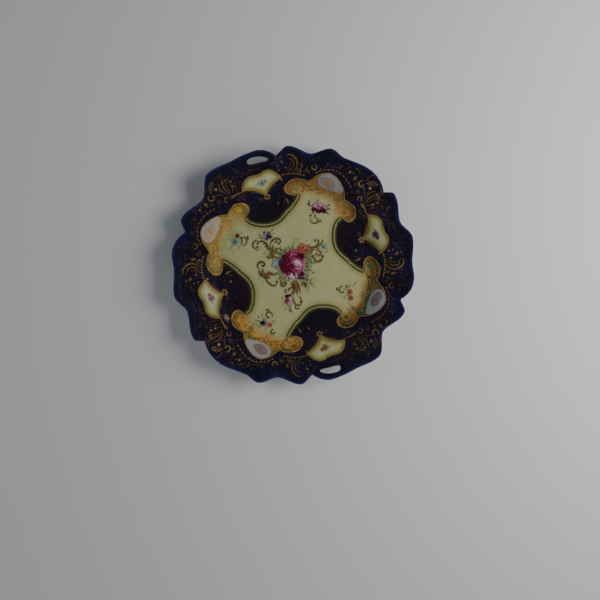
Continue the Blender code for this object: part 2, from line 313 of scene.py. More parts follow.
def stroke(P, pts, w, col, h=0.2, base=0.0, kind="taper", closed=False, col2=None, step=0.7,
           edge=None):
    """A brush stroke or raised line along a curve. Width in grid squares, heights in mm."""
    c = curve(pts, step, closed)
    n = len(c)
    t = np.linspace(0, 1, n)
    if closed:
        tan = np.roll(c, -1, 0) - np.roll(c, 1, 0)
        prof = np.ones(n)
    else:
        tan = np.gradient(c, axis=0)
        if kind == "taper":
            prof = np.clip(np.sin(np.pi * t), 0, 1) ** 0.55
        elif kind == "leaf":
            prof = np.clip(np.sin(np.pi * t ** 0.8), 0, 1) ** 0.9
        elif kind == "drop":
            prof = np.clip(t * 9, 0, 1) ** 0.5 * (1 - t) ** 0.65
        elif kind == "tail":
            prof = np.clip((1 - t) * 9, 0, 1) ** 0.5 * t ** 0.65
        else:
            prof = np.clip(np.minimum(t, 1 - t) * n * step / (0.6 * w), 0, 1) ** 0.5
        prof = np.maximum(prof, 0.04)
    tan /= np.linalg.norm(tan, axis=1)[:, None] + 1e-12
    side = np.stack([-tan[:, 1], tan[:, 0]], 1)
    xy = (c[:, None, :] + side[:, None, :] * (CROSS_U[None, :, None] * 0.5 * w * prof[:, None, None])) * G
    hh = (base + h * CROSS_H[None, :] * np.sqrt(prof)[:, None])
    hh[:, 0] = hh[:, -1] = -0.06
    col = np.asarray(col, float)
    cc = mix(col, col2, t)[:, None, :] if col2 is not None else col[None, None, :]
    cc = np.broadcast_to(cc, (n, 5, 3)).copy()
    if edge is not None:
        cc[:, 0] = cc[:, 4] = edge
    faces = []
    for i in range(n if closed else n - 1):
        j = (i + 1) % n
        for k in range(4):
            faces.append((i * 5 + k, j * 5 + k, j * 5 + k + 1, i * 5 + k + 1))
    P.add(lift(xy.reshape(-1, 2), hh.ravel()), cc.reshape(-1, 3), faces)


def blob(P, outline, col, h=0.2, base=0.0, mid=None, centre=None, step=0.8, shade=None,
         rings=(1.0, 0.9, 0.62, 0.3), closed_curve=True):
    """A filled shape with a soft domed edge."""
    o = curve(outline, step, True) if closed_curve else np.asarray(outline, float)
    c0 = np.mean(o, 0) if centre is None else np.asarray(centre, float)
    n = len(o)
    xy = [c0 + (o - c0) * s for s in rings] + [c0[None, :]]
    hs = [np.full(n, -0.06 if s == 1.0 else base + h * min(1.0, 0.72 + (1 - s) * 0.9)) for s in rings]
    hs.append(np.array([base + h]))
    col = np.asarray(col, float)
    mid = col if mid is None else np.asarray(mid, float)
    cs = [np.broadcast_to(col + (mid - col) * (1 - s), (n, 3)) for s in rings] + [mid[None, :]]
    xy = np.vstack(xy); hs = np.concatenate(hs); cs = np.vstack(cs)
    if shade is not None:
        cs = shade(xy, cs)
    faces = []
    for k in range(len(rings) - 1):
        for i in range(n):
            j = (i + 1) % n
            faces.append((k * n + i, k * n + j, (k + 1) * n + j, (k + 1) * n + i))
    last = (len(rings) - 1) * n
    for i in range(n):
        faces.append((last + i, last + (i + 1) % n, len(rings) * n))
    a = o[:, 0] * np.roll(o[:, 1], -1) - o[:, 1] * np.roll(o[:, 0], -1)
    if a.sum() < 0:
        faces = [f[::-1] for f in faces]
    P.add(lift(xy * G, hs), cs, faces)


def ellipse(x, y, a, b, ang=0.0, n=12, wob=0.0, seed=0):
    rnd = random.Random(seed)
    ca, sa = math.cos(math.radians(ang)), math.sin(math.radians(ang))
    out = []
    for k in range(n):
        t = 2 * math.pi * k / n
        m = 1.0 + wob * (rnd.random() - 0.5) * 2
        u, v = a * math.cos(t) * m, b * math.sin(t) * m
        out.append((x + u * ca - v * sa, y + u * sa + v * ca))
    return out


def petal(P, x, y, ang, length, width, root, tip, h=0.2, base=0.0):
    """A petal from its root outwards, coloured root to tip."""
    ca, sa = math.cos(math.radians(ang)), math.sin(math.radians(ang))
    pts = []
    for k in range(14):
        t = 2 * math.pi * k / 14
        u = length * (0.5 - 0.5 * math.cos(t))
        v = 0.5 * width * math.sin(t) * (0.45 + 0.75 * u / length)
        pts.append((x + u * ca - v * sa, y + u * sa + v * ca))

    def shade(xy, cs):
        f = np.clip(((xy[:, 0] - x) * ca + (xy[:, 1] - y) * sa) / length, 0, 1)
        return mix(root, tip, f ** 0.8)

    blob(P, pts, root, h=h, base=base, shade=shade, centre=(x + 0.58 * length * ca, y + 0.58 * length * sa))


def dot(P, x, y, r, col, h=0.3, base=0.0, mid=None):
    blob(P, ellipse(x, y, r, r, n=10), col, h=h, base=base, mid=mid, step=max(0.35, r * 0.5),
         rings=(1.0, 0.85, 0.5))


def leaf(P, x, y, ang, length, width, dark, light, bend=0.0, h=0.12, base=0.06, rib=True):
    ca, sa = math.cos(math.radians(ang)), math.sin(math.radians(ang))
    pts = []
    for t in (0, 0.35, 0.7, 1.0):
        v = bend * length * math.sin(math.pi * t)
        pts.append((x + t * length * ca - v * sa, y + t * length * sa + v * ca))
    stroke(P, pts, width, dark, h=h, base=base, kind="leaf", col2=light, step=0.6)
    if rib and width > 1.6:
        stroke(P, pts, width * 0.16, np.asarray(dark) * 0.45, h=h + 0.06, base=base, kind="taper", step=0.6)


def turned(pts, k):
    """Points turned anticlockwise by k right angles."""
    out = []
    for x, y in pts:
        for _ in range(k % 4):
            x, y = -y, x
        out.append((x, y))
    return out


def turn1(x, y, k):
    return turned([(x, y)], k)[0]


def offset_path(pts, d, step=1.0, closed=False):
    c = curve(pts, step, closed)
    tan = (np.roll(c, -1, 0) - np.roll(c, 1, 0)) if closed else np.gradient(c, axis=0)
    tan /= np.linalg.norm(tan, axis=1)[:, None]
    return c + np.stack([-tan[:, 1], tan[:, 0]], 1) * d


# ------------------------------------------------------------- the ornament, plan
RESERVE_QUARTER = (
    (7, 71), (2, 71.3), (-3, 71.7), (-7.6, 73.6), (-9.4, 77.6), (-7.4, 82),
    (-2, 85.2), (4, 86.7), (9.5, 86.6), (14.5, 84.6), (18.5, 87.2), (24, 90.8),
    (30, 92.6), (35, 92.6), (40, 90.2), (44, 86.5), (47.3, 81.5), (49.6, 76),
    (50.8, 71), (51.4, 66.6), (55.6, 64), (60, 59.8), (62.5, 54.8),
    (62.6, 49.6), (60.2, 45.8), (56, 44.4), (51.6, 46.4), (48, 49.2), (44, 46.5),
    (41.5, 42), (40, 36), (39.7, 29.5), (40, 25), (42, 18), (46, 12),
    (50.5, 8), (55, 4), (60, -0.5), (66, -4.5))
CARTOUCHE = ((-51.4, 74.8), (-51, 79.5), (-49.2, 84.5), (-45.6, 88), (-40, 89.6),
             (-34.5, 91.4), (-30, 94.4), (-25, 95.6), (-20, 94), (-16.2, 91.2),
             (-13.2, 88.6), (-17.2, 85), (-22.2, 80.5), (-25.8, 75.5), (-28.2, 71.4),
             (-33, 73.6), (-39, 75), (-45.5, 75.2))
MEDALLION = ((24.2, 85.6), (26.4, 89.2), (30.4, 91.1), (34.8, 91), (39.2, 88.8),
             (42.8, 85.5), (46, 80.9), (48.2, 76), (47.2, 74.3), (43.5, 74.9),
             (39, 76.1), (34.5, 77.8), (30, 79.8), (26.2, 82.4))
reserve = []
for k in range(4):
    q = list(RESERVE_QUARTER)
    for _ in range(k):
        q = [(y, -x) for x, y in q]
    reserve += q

# palette
CREAM = rgb(172, 169, 122)
CREAM_WARM = rgb(176, 158, 96)
OCHRE = rgb(168, 130, 52)
ORANGE = rgb(176, 116, 52)
OLIVE = rgb(104, 94, 36)
OLIVE_DARK = rgb(58, 52, 20)
COBALT = rgb(12, 8, 31)
COBALT_BRIGHT = rgb(27, 23, 84)
WHITE_GLAZE = rgb(226, 225, 216)
GOLD = rgb(186, 148, 84)
GOLD_DARK = rgb(124, 86, 46)
GOLD_PALE = rgb(214, 186, 128)
ROSE_GOLD = rgb(146, 98, 76)
SCROLL = rgb(70, 56, 22)
SCROLL_LIGHT = rgb(124, 102, 50)
LEAF_D = rgb(40, 56, 28)
LEAF_M = rgb(82, 104, 52)
LEAF_L = rgb(130, 150, 86)
CRIMSON = rgb(112, 12, 38)
CRIMSON_D = rgb(46, 4, 14)
MAGENTA = rgb(146, 34, 78)
PINK = rgb(190, 104, 128)
PINK_PALE = rgb(206, 172, 180)
PLUM = rgb(36, 10, 28)
LILAC = rgb(134, 108, 136)
BLUE = rgb(44, 56, 112)
BLUE_PALE = rgb(134, 150, 180)
TEAL = rgb(56, 96, 100)
RUST = rgb(156, 60, 32)
RUST_PALE = rgb(196, 122, 82)


# ------------------------------------------------------------------ porcelain
def grid_rows(theta):
    """Radius and height of each ring at every station, from face to foot."""
    n = len(theta)
    one = np.ones(n)
    edge = rim_radius(theta)
    rows = []

    def face(r):
        rows.append((r, face_z(r, theta)))

    for r in (14, 30, 46, 60, 70, 76, 79):
        face(one * r * MM)
    for r in np.linspace(80, 103, 21):
        face(one * r * MM)
    inner = edge - LIP_R
    for s in np.linspace(0, 1, 26)[1:]:
        face(SHOULDER_R + (inner - SHOULDER_R) * s)
    zc = face_z(inner, theta) - LIP_R
    for a in (68, 45, 22, 0, -22, -45, -68):
        a = math.radians(a)
        rows.append((inner + LIP_R * math.cos(a), zc + LIP_R * math.sin(a)))
    for s in np.linspace(1, 0, 14):
        r = SHOULDER_R + (inner - SHOULDER_R) * s
        rows.append((r, face_z(r, theta) - (RIM_T + (LIP_T - RIM_T) * s) * one))
    for r in np.linspace(101, 83.2, 10):
        k = (103.0 - r) / 20.0
        rows.append((one * r * MM, face_z(one * r * MM, theta) - (RIM_T + (WALL_T - RIM_T) * ease(min(1, k * 1.1)))))
    for r, z in ((82.4, 2.82), (81.6, 2.55), (81.0, 1.9), (80.6, 1.1), (80.3, 0.5), (80.0, 0.2),
                 (79.5, 0.03), (79.0, 0.0), (76.0, 0.0), (75.5, 0.03), (75.0, 0.2), (74.7, 0.5),
                 (74.4, 1.1), (74.0, 1.9), (73.4, 2.55), (72.4, 2.78), (71.0, 2.8), (55.0, 2.8), (28.0, 2.8)):
        rows.append((one * r * MM, one * z * MM))
    return rows


def slot_cutter(turn):
    """The slot with eased edges above and below."""
    c, s = math.cos(turn), math.sin(turn)
    base = curve(HANDLE_SLOT, 0.8, True)
    tan = np.roll(base, -1, 0) - np.roll(base, 1, 0)
    tan /= np.linalg.norm(tan, axis=1)[:, None]
    side = np.stack([-tan[:, 1], tan[:, 0]], 1)
    if np.sum(side * (base - base.mean(0))) < 0:
        side = -side
    bm = bmesh.new()
    rings = []
    n = len(base)
    for grow, dz in ((2.6, 2.0), (0.95, 0.12), (0.55, -0.12), (0.22, -0.45), (0.05, -0.9),
                     (0.05, -2.0), (0.22, -2.5), (0.6, -2.85), (1.1, -3.15), (3.2, -5.2)):
        p = base + side * grow / 1.09
        ring = []
        for x, y in p:
            X, Y = (x * c - y * s) * G, (x * s + y * c) * G
            z = float(face_z(np.array([math.hypot(X, Y)]), np.array([math.atan2(Y, X)]))[0])
            ring.append(bm.verts.new((X, Y, z + dz * MM)))
        rings.append(ring)
    for a, b in zip(rings, rings[1:]):
        for i in range(n):
            j = (i + 1) % n
            bm.faces.new((a[i], a[j], b[j], b[i]))
    bm.faces.new(rings[0]); bm.faces.new(rings[-1])
    bmesh.ops.recalc_face_normals(bm, faces=bm.faces)
    mesh = bpy.data.meshes.new("slot_cutter")
    bm.to_mesh(mesh); bm.free()
    obj = bpy.data.objects.new("slot_cutter", mesh)
    bpy.context.scene.collection.objects.link(obj)
    return obj


def porcelain():
    n = 720
    theta = np.linspace(0, 2 * math.pi, n, endpoint=False)
    rows = grid_rows(theta)
    verts = [np.stack([r * np.cos(theta), r * np.sin(theta), z * np.ones(n)], 1) for r, z in rows]
    m = len(rows)
    verts.append(np.array([[0, 0, FLOOR_Z], [0, 0, FLOOR_Z - FLOOR_T]]))
    faces = []
    for k in range(m - 1):
        for i in range(n):
            j = (i + 1) % n
            faces.append((k * n + i, (k + 1) * n + i, (k + 1) * n + j, k * n + j))
    for i in range(n):
        j = (i + 1) % n
        faces.append((m * n, i, j))
        faces.append((m * n + 1, (m - 1) * n + j, (m - 1) * n + i))
    mesh = bpy.data.meshes.new("porcelain")
    mesh.from_pydata(np.concatenate(verts).tolist(), [], faces)
    mesh.update()
    obj = bpy.data.objects.new("porcelain", mesh)
    bpy.context.scene.collection.objects.link(obj)
    cutters = [slot_cutter(0.0), slot_cutter(math.pi)]
    for c in cutters:
        md = obj.modifiers.new("slot", "BOOLEAN")
        md.operation, md.solver, md.object = "DIFFERENCE", "EXACT", c
    dg = bpy.context.evaluated_depsgraph_get()
    cut = bpy.data.meshes.new_from_object(obj.evaluated_get(dg))
    obj.modifiers.clear()
    obj.data = cut
    for c in cutters:
        bpy.data.objects.remove(c, do_unlink=True)
    co = np.empty(len(cut.vertices) * 3)
    cut.vertices.foreach_get("co", co)
    co = co.reshape(-1, 3)
    r, th = np.hypot(co[:, 0], co[:, 1]), np.arctan2(co[:, 1], co[:, 0])
    depth = (face_z(r, th) - co[:, 2]) / MM
    inset = (rim_radius(th) - r) / MM
    wob = np.array([noise.noise(Vector((a * 60, b * 60, 1.7))) for a, b in co[:, :2]])
    wob2 = np.array([noise.noise(Vector((a * 260, b * 260, 5.1))) for a, b in co[:, :2]])
    top = depth < 0.6
    # painted reflection: the cobalt is brightened towards the lip, standing in for the sheen on the rolled edge
    lip_sheen = np.clip((5.0 - inset) / 5.0, 0, 1)
    blue = mix(COBALT, COBALT_BRIGHT, np.clip(lip_sheen * 0.9 + wob * 0.35 + wob2 * 0.15, 0, 1))
    # the glaze thins on the lip and is painted paler there, which also serves as a painted highlight along the edge;
    # and the cobalt runs a little way over the edge
    thin_glaze_and_highlight = np.exp(-((inset - 0.35) / 0.55) ** 2) * (depth < 2.2) * np.clip(0.28 + wob2 * 0.9, 0, 1)
    blue = mix(blue, rgb(120, 112, 130), np.clip(thin_glaze_and_highlight, 0, 0.75))
    bleed = np.clip((3.2 + wob * 3.0 + wob2 * 1.2 - (depth - 1.6) - np.clip(inset - 1.2, 0, 50) * 1.1) / 1.3, 0, 1)
    cover = np.where(top, 1.0, np.where(inset < 60, bleed, 0.0))
    white = mix(WHITE_GLAZE, rgb(206, 210, 218), np.clip(0.5 + wob * 1.2, 0, 1) * 0.5)
    paint = mix(white, blue, cover)
    att = cut.color_attributes.new("paint", "FLOAT_COLOR", "POINT")
    att.data.foreach_set("color", np.concatenate([paint, np.ones((len(paint), 1))], 1).ravel())
    cut.materials.clear()
    cut.materials.append(M_COBALT)
    cut.materials.append(M_BISQUE)
    low = [1 if p.center.z < 0.00012 else 0 for p in cut.polygons]
    cut.polygons.foreach_set("material_index", low)
    cut.polygons.foreach_set("use_smooth", [True] * len(cut.polygons))
    cut.set_sharp_from_angle(angle=math.radians(50))
    cut.update()
    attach(obj, "root")
    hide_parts("porcelain_body")


porcelain()


# ---------------------------------------------------------------- filled panels
def inside_mask(pts, poly):
    ax, ay = poly[:, 0][None], poly[:, 1][None]
    bx, by = np.roll(poly[:, 0], -1)[None], np.roll(poly[:, 1], -1)[None]
    out = np.zeros(len(pts), bool)
    for i in range(0, len(pts), 3000):
        x, y = pts[i:i + 3000, 0][:, None], pts[i:i + 3000, 1][:, None]
        hit = ((ay > y) != (by > y)) & (x < (bx - ax) * (y - ay) / (by - ay + 1e-12) + ax)
        out[i:i + 3000] = hit.sum(1) % 2 == 1
    return out


def fill_panel(P, outline, step, colour, h=0.05, inner_step=1.6, height=None):
    """A glaze panel inside a closed outline, following the face, with a soft edge."""
    o = curve(outline, step, True)
    a = np.sum(o[:, 0] * np.roll(o[:, 1], -1) - o[:, 1] * np.roll(o[:, 0], -1))
    if a < 0:
        o = o[::-1]
    lo, hi = o.min(0), o.max(0)
    gx = np.arange(lo[0], hi[0], inner_step)
    gy = np.arange(lo[1], hi[1], inner_step * 0.866)
    pts = np.array([(x + (0.5 * inner_step if r % 2 else 0.0), y) for r, y in enumerate(gy) for x in gx])
    pts = pts[inside_mask(pts, o)]
    pts = pts[polyline_distance(pts, o, True) > inner_step * 0.55]
    allp = np.vstack([o, pts])
    n = len(o)
    res = delaunay_2d_cdt([Vector(p) for p in allp.tolist()], [],
                          [list(range(n))], 1, 1e-6)
    vs = np.array([(v.x, v.y) for v in res[0]])
    tris = np.array([tuple(t) for t in res[2]])
    p0, p1, p2 = vs[tris[:, 0]], vs[tris[:, 1]], vs[tris[:, 2]]
    cr = (p1[:, 0] - p0[:, 0]) * (p2[:, 1] - p0[:, 1]) - (p1[:, 1] - p0[:, 1]) * (p2[:, 0] - p0[:, 0])
    tris[cr < 0] = tris[cr < 0][:, ::-1]
    faces = [tuple(t) for t in tris.tolist()]
    k = len(vs)
    cs = colour(vs)
    hh = np.full(k, h) if height is None else height(vs, polyline_distance(vs, o, True))
    base = lift(vs * G, hh)
    low = lift(o * G, np.full(n, -0.12))
    # the boundary vertices come first and in order
    for i in range(n):
        j = (i + 1) % n
        faces.append((i, k + i, k + j, j))
    P.add(np.vstack([base, low]), np.vstack([cs, cs[:n]]), faces)


def polyline_distance(xy, line, closed=False):
    L = np.asarray(line, float)
    a = L if closed else L[:-1]
    b = np.roll(L, -1, 0) if closed else L[1:]
    best = np.full(len(xy), 1e9)
    for p, q in zip(a, b):
        d = q - p
        t = np.clip(((xy - p) @ d) / (d @ d), 0, 1)
        best = np.minimum(best, np.linalg.norm(xy - (p + t[:, None] * d), axis=1))
    return best


def noise_at(xy, scale, seed):
    return np.array([noise.noise(Vector((a * scale, b * scale, seed))) for a, b in xy])


def along(xy, line):
    """Distance to a line and how far along it the nearest point is, 0 to 1."""
    L = np.asarray(line, float)
    seg = np.linalg.norm(np.diff(L, axis=0), axis=1)
    cum = np.concatenate([[0], np.cumsum(seg)])
    best, at = np.full(len(xy), 1e9), np.zeros(len(xy))
    for i, (p, q) in enumerate(zip(L[:-1], L[1:])):
        d = q - p
        t = np.clip(((xy - p) @ d) / (d @ d + 1e-12), 0, 1)
        dist = np.linalg.norm(xy - (p + t[:, None] * d), axis=1)
        near = dist < best
        best[near] = dist[near]
        at[near] = (cum[i] + t[near] * seg[i]) / cum[-1]
    return best, at


class Field:
    """Soft brushwork held as vertex colour: dabs and strokes with feathered edges."""

    def __init__(self):
        self.items = []

    def dab(self, x, y, a, b, ang, col, alpha=1.0, soft=0.5, mid=None, rise=0.0):
        self.items.append(("d", (x, y, a, b, math.radians(ang)), np.asarray(col), alpha, soft, mid, rise))

    def brush(self, pts, w, col, alpha=1.0, soft=0.5, mid=None, rise=0.0, even=False):
        line = curve(pts, max(0.4, w * 0.4))
        self.items.append(("e" if even else "s", (line, w), np.asarray(col), alpha, soft, mid, rise))

    def cover(self, xy, item):
        kind, g, _, alpha, soft, _, _ = item
        if kind == "d":
            x, y, a, b, t = g
            u = (xy[:, 0] - x) * math.cos(t) + (xy[:, 1] - y) * math.sin(t)
            v = -(xy[:, 0] - x) * math.sin(t) + (xy[:, 1] - y) * math.cos(t)
            rho = np.sqrt((u / a) ** 2 + (v / b) ** 2)
        else:
            d, t = along(xy, g[0])
            half = 0.5 * g[1] * (1.0 if kind == "e" else np.clip(np.sin(np.pi * np.clip(t, 0.02, 0.98)), 0.05, 1) ** 0.6)
            rho = d / half
        al = np.clip((1.0 - rho) / max(soft, 1e-3), 0, 1)
        return al * al * (3 - 2 * al) * alpha, rho

    def outline(self, x, y, reach=22.0, n=64):
        """The lobed edge of everything painted, seen from one point."""
        edge = []
        rr = np.arange(reach, 0.5, -0.12)
        for j in range(n):
            a = 2 * math.pi * j / n
            ray = np.stack([x + rr * math.cos(a), y + rr * math.sin(a)], 1)
            hit = np.zeros(len(rr), bool)
            for item in self.items:
                hit |= self.cover(ray, item)[1] < 0.86
            i = int(np.argmax(hit)) if hit.any() else len(rr) - 1
            edge.append((float(ray[i, 0]), float(ray[i, 1])))
        return edge

    def near(self, xy, item):
        g = item[1]
        if item[0] == "d":
            lo = np.array([g[0], g[1]]) - max(g[2], g[3])
            hi = np.array([g[0], g[1]]) + max(g[2], g[3])
        else:
            lo, hi = g[0].min(0) - g[1], g[0].max(0) + g[1]
        return np.nonzero(np.all((xy >= lo) & (xy <= hi), axis=1))[0]

    def paint(self, xy, out):
        out = np.array(out)
        for item in self.items:
            i = self.near(xy, item)
            if not len(i):
                continue
            al, rho = self.cover(xy[i], item)
            col = item[2] if item[5] is None else mix(item[5], item[2], np.clip(rho, 0, 1))
            out[i] = out[i] * (1 - al[:, None]) + col * al[:, None]
        return out

    def relief(self, xy):
        z = np.zeros(len(xy))
        for item in self.items:
            if item[6] == 0.0:
                continue
            i = self.near(xy, item)
            if len(i):
                al, rho = self.cover(xy[i], item)
                z[i] = z[i] * (1 - 0.5 * al) + item[6] * al * np.sqrt(np.clip(1.05 - rho ** 2, 0, 1))
        return z


WASH = Field()
INNER_EDGE = ((-14, 68), (3, 73.0), (12, 74.5), (20, 73), (30, 70.5), (38, 66), (43.5, 60), (46, 54), (45, 44))
PIVOT = np.array([2.0, 30.0])


# ochre of each corner, main and deep: the corners' own colour, painted lighter on the left and darker on the right as
# painted light and shade
CORNER_TONE_AND_SHADE = ((rgb(152, 120, 66), rgb(122, 98, 46)), (rgb(164, 134, 72), rgb(134, 112, 50)),
                (rgb(180, 138, 66), rgb(124, 100, 44)), (rgb(138, 112, 56), rgb(80, 74, 34)))
FADE = rgb(163, 148, 90)


def reserve_colour(xy):
    """Cream in the well, shaded ochre and orange into the four corners; each corner is also painted lighter or darker
    as painted light and shade.
    """
    out = mix(CREAM, rgb(168, 170, 121), np.clip(0.5 + noise_at(xy, 0.05, 3.0), 0, 1))
    border = polyline_distance(xy, curve(reserve, 2.0, True), True)
    out = mix(out, FADE, np.clip(1 - border / 8.0, 0, 1) ** 1.5 * 0.5)
    out = mix(out, rgb(124, 132, 72), np.clip(1 - border / 6.0, 0, 1) ** 1.4 * 0.75)
    be = np.array(INNER_EDGE, float) - PIVOT
    ba, br = np.arctan2(be[:, 1], be[:, 0]), np.hypot(be[:, 0], be[:, 1])
    order = np.argsort(ba)
    for k in range(4):
        a = -k * math.pi / 2
        q = np.stack([xy[:, 0] * math.cos(a) - xy[:, 1] * math.sin(a),
                      xy[:, 0] * math.sin(a) + xy[:, 1] * math.cos(a)], 1)
        d = q - PIVOT
        pa, pr = np.arctan2(d[:, 1], d[:, 0]), np.hypot(d[:, 0], d[:, 1])
        lim = np.interp(pa, ba[order], br[order], left=1e3, right=1e3)
        n1 = noise_at(q, 0.12, 11.0 + k)
        n2 = noise_at(q, 0.32, 21.0 + k)
        n3 = noise_at(q, 0.70, 31.0 + k)
        early = np.clip((pr - lim + 9.0 + n1 * 5) / 9.0, 0, 1)
        out = mix(out, FADE, early * early * (3 - 2 * early) * 0.8)
        w = np.clip((pr - lim + 3.0 + n1 * 4) / 9.0, 0, 1)
        w = w * w * (3 - 2 * w)
        main, deep = CORNER_TONE_AND_SHADE[k]
        tone = mix(main, main * np.array([1.12, 0.86, 0.62]), np.clip(0.3 + n1 * 1.6, 0, 1) * 0.55)
        tone = mix(tone, deep, np.clip((pr - lim - 5.0) / 12.0 + 0.15 + n2 * 1.1 + n3 * 0.5, 0, 0.9))
        out = mix(out, tone, w * 0.95)
    return out


def cartouche_colour(k):
    def f(xy):
        o = curve([turn1(x, y, -k % 4) for x, y in CARTOUCHE], 1.0, True)
        d = polyline_distance(xy, o, True)
        n1 = noise_at(xy, 0.15, 40.0 + k)
        c = mix(rgb(140, 128, 66), rgb(170, 168, 112), np.clip((d - 1.0) / 3.6, 0, 1))
        c = mix(c, (rgb(186, 190, 164), rgb(176, 176, 158), rgb(186, 182, 160), rgb(182, 188, 168))[k],
                np.clip((d - 4.0) / 4.0, 0, 1) * 0.9)
        return mix(c, CREAM_WARM, np.clip(n1 * 0.8, 0, 0.5))
    return f


P = Paint()
for k in range(4):
    fill_panel(P, [turn1(x, y, -k % 4) for x, y in CARTOUCHE], 0.9, cartouche_colour(k), h=0.05, inner_step=1.3)
P.build("cartouche_panels", M_CREAM, slot="reserve_glaze")
# ------------------------------------------------- raised gilding and its bands
LOBE = ((47.5, 49.5), (44, 46.5), (41.5, 42), (40, 36), (39.7, 29.5), (40, 25), (42, 18),
        (46, 12), (50.5, 8), (55, 4), (60, -0.5), (66, -4.5), (71, -7))


def bead_line(P, pts, w, col, h, pitch=0.9, edge=None, tone_of=None):
    """A closed raised line with a faint rope of beads along it."""
    c = curve(pts, pitch * 0.5, True)
    if len(c) % 2:
        c = curve(pts, pitch * 0.5 * len(c) / (len(c) + 1), True)
    n = len(c)
    tan = np.roll(c, -1, 0) - np.roll(c, 1, 0)
    tan /= np.linalg.norm(tan, axis=1)[:, None]
    side = np.stack([-tan[:, 1], tan[:, 0]], 1)
    wob = 1.0 + 0.10 * np.sin(np.arange(n) * math.pi)
    width = w * (1.0 + 0.16 * np.where(np.arange(n) % 2 == 0, 1, -1))
    xy = (c[:, None, :] + side[:, None, :] * (CROSS_U[None, :, None] * 0.5 * width[:, None, None])) * G
    hh = h * CROSS_H[None, :] * np.where(np.arange(n) % 2 == 0, 1.08, 0.86)[:, None] * wob[:, None]
    hh[:, 0] = hh[:, -1] = -0.06
    tone = 1.0 + 0.25 * noise_at(c, 0.25, 9.0)
    own = np.broadcast_to(np.asarray(col), (n, 3)) if tone_of is None else tone_of(c)
    cc = own[:, None, :] * tone[:, None, None] * np.ones((n, 5, 1))
    if edge is not None:
        cc[:, 0] = cc[:, 4] = edge
    faces = []
    for i in range(n):
        j = (i + 1) % n
        for k in range(4):
            faces.append((i * 5 + k, j * 5 + k, j * 5 + k + 1, i * 5 + k + 1))
    P.add(lift(xy.reshape(-1, 2), hh.ravel()), cc.reshape(-1, 3), faces)


P = Paint()
lobe_lines = [np.array(turned(LOBE[1:-1], k), float) for k in range(4)]


def border_tone(c):
    """Bright gold round the corners, browned gold along the cobalt lobes."""
    d = np.min([polyline_distance(c, line) for line in lobe_lines], axis=0)
    return mix(rgb(104, 84, 40), GOLD, np.clip(d / 5.0, 0, 1))


bead_line(P, reserve, 1.05, GOLD, 0.42, edge=GOLD_DARK, tone_of=border_tone)
P.build("reserve_gilding", M_GOLD, replaces=("reserve_gilt_line",), slot="gilding")

P = Paint()
for k in range(4):
    bead_line(P, [turn1(x, y, -k % 4) for x, y in CARTOUCHE], 1.0, GOLD, 0.38, edge=GOLD_DARK)
P.build("cartouche_gilding", M_GOLD, slot="gilding",
        replaces=("cartouche_gilt_top", "cartouche_gilt_right", "cartouche_gilt_bottom", "cartouche_gilt_left"))
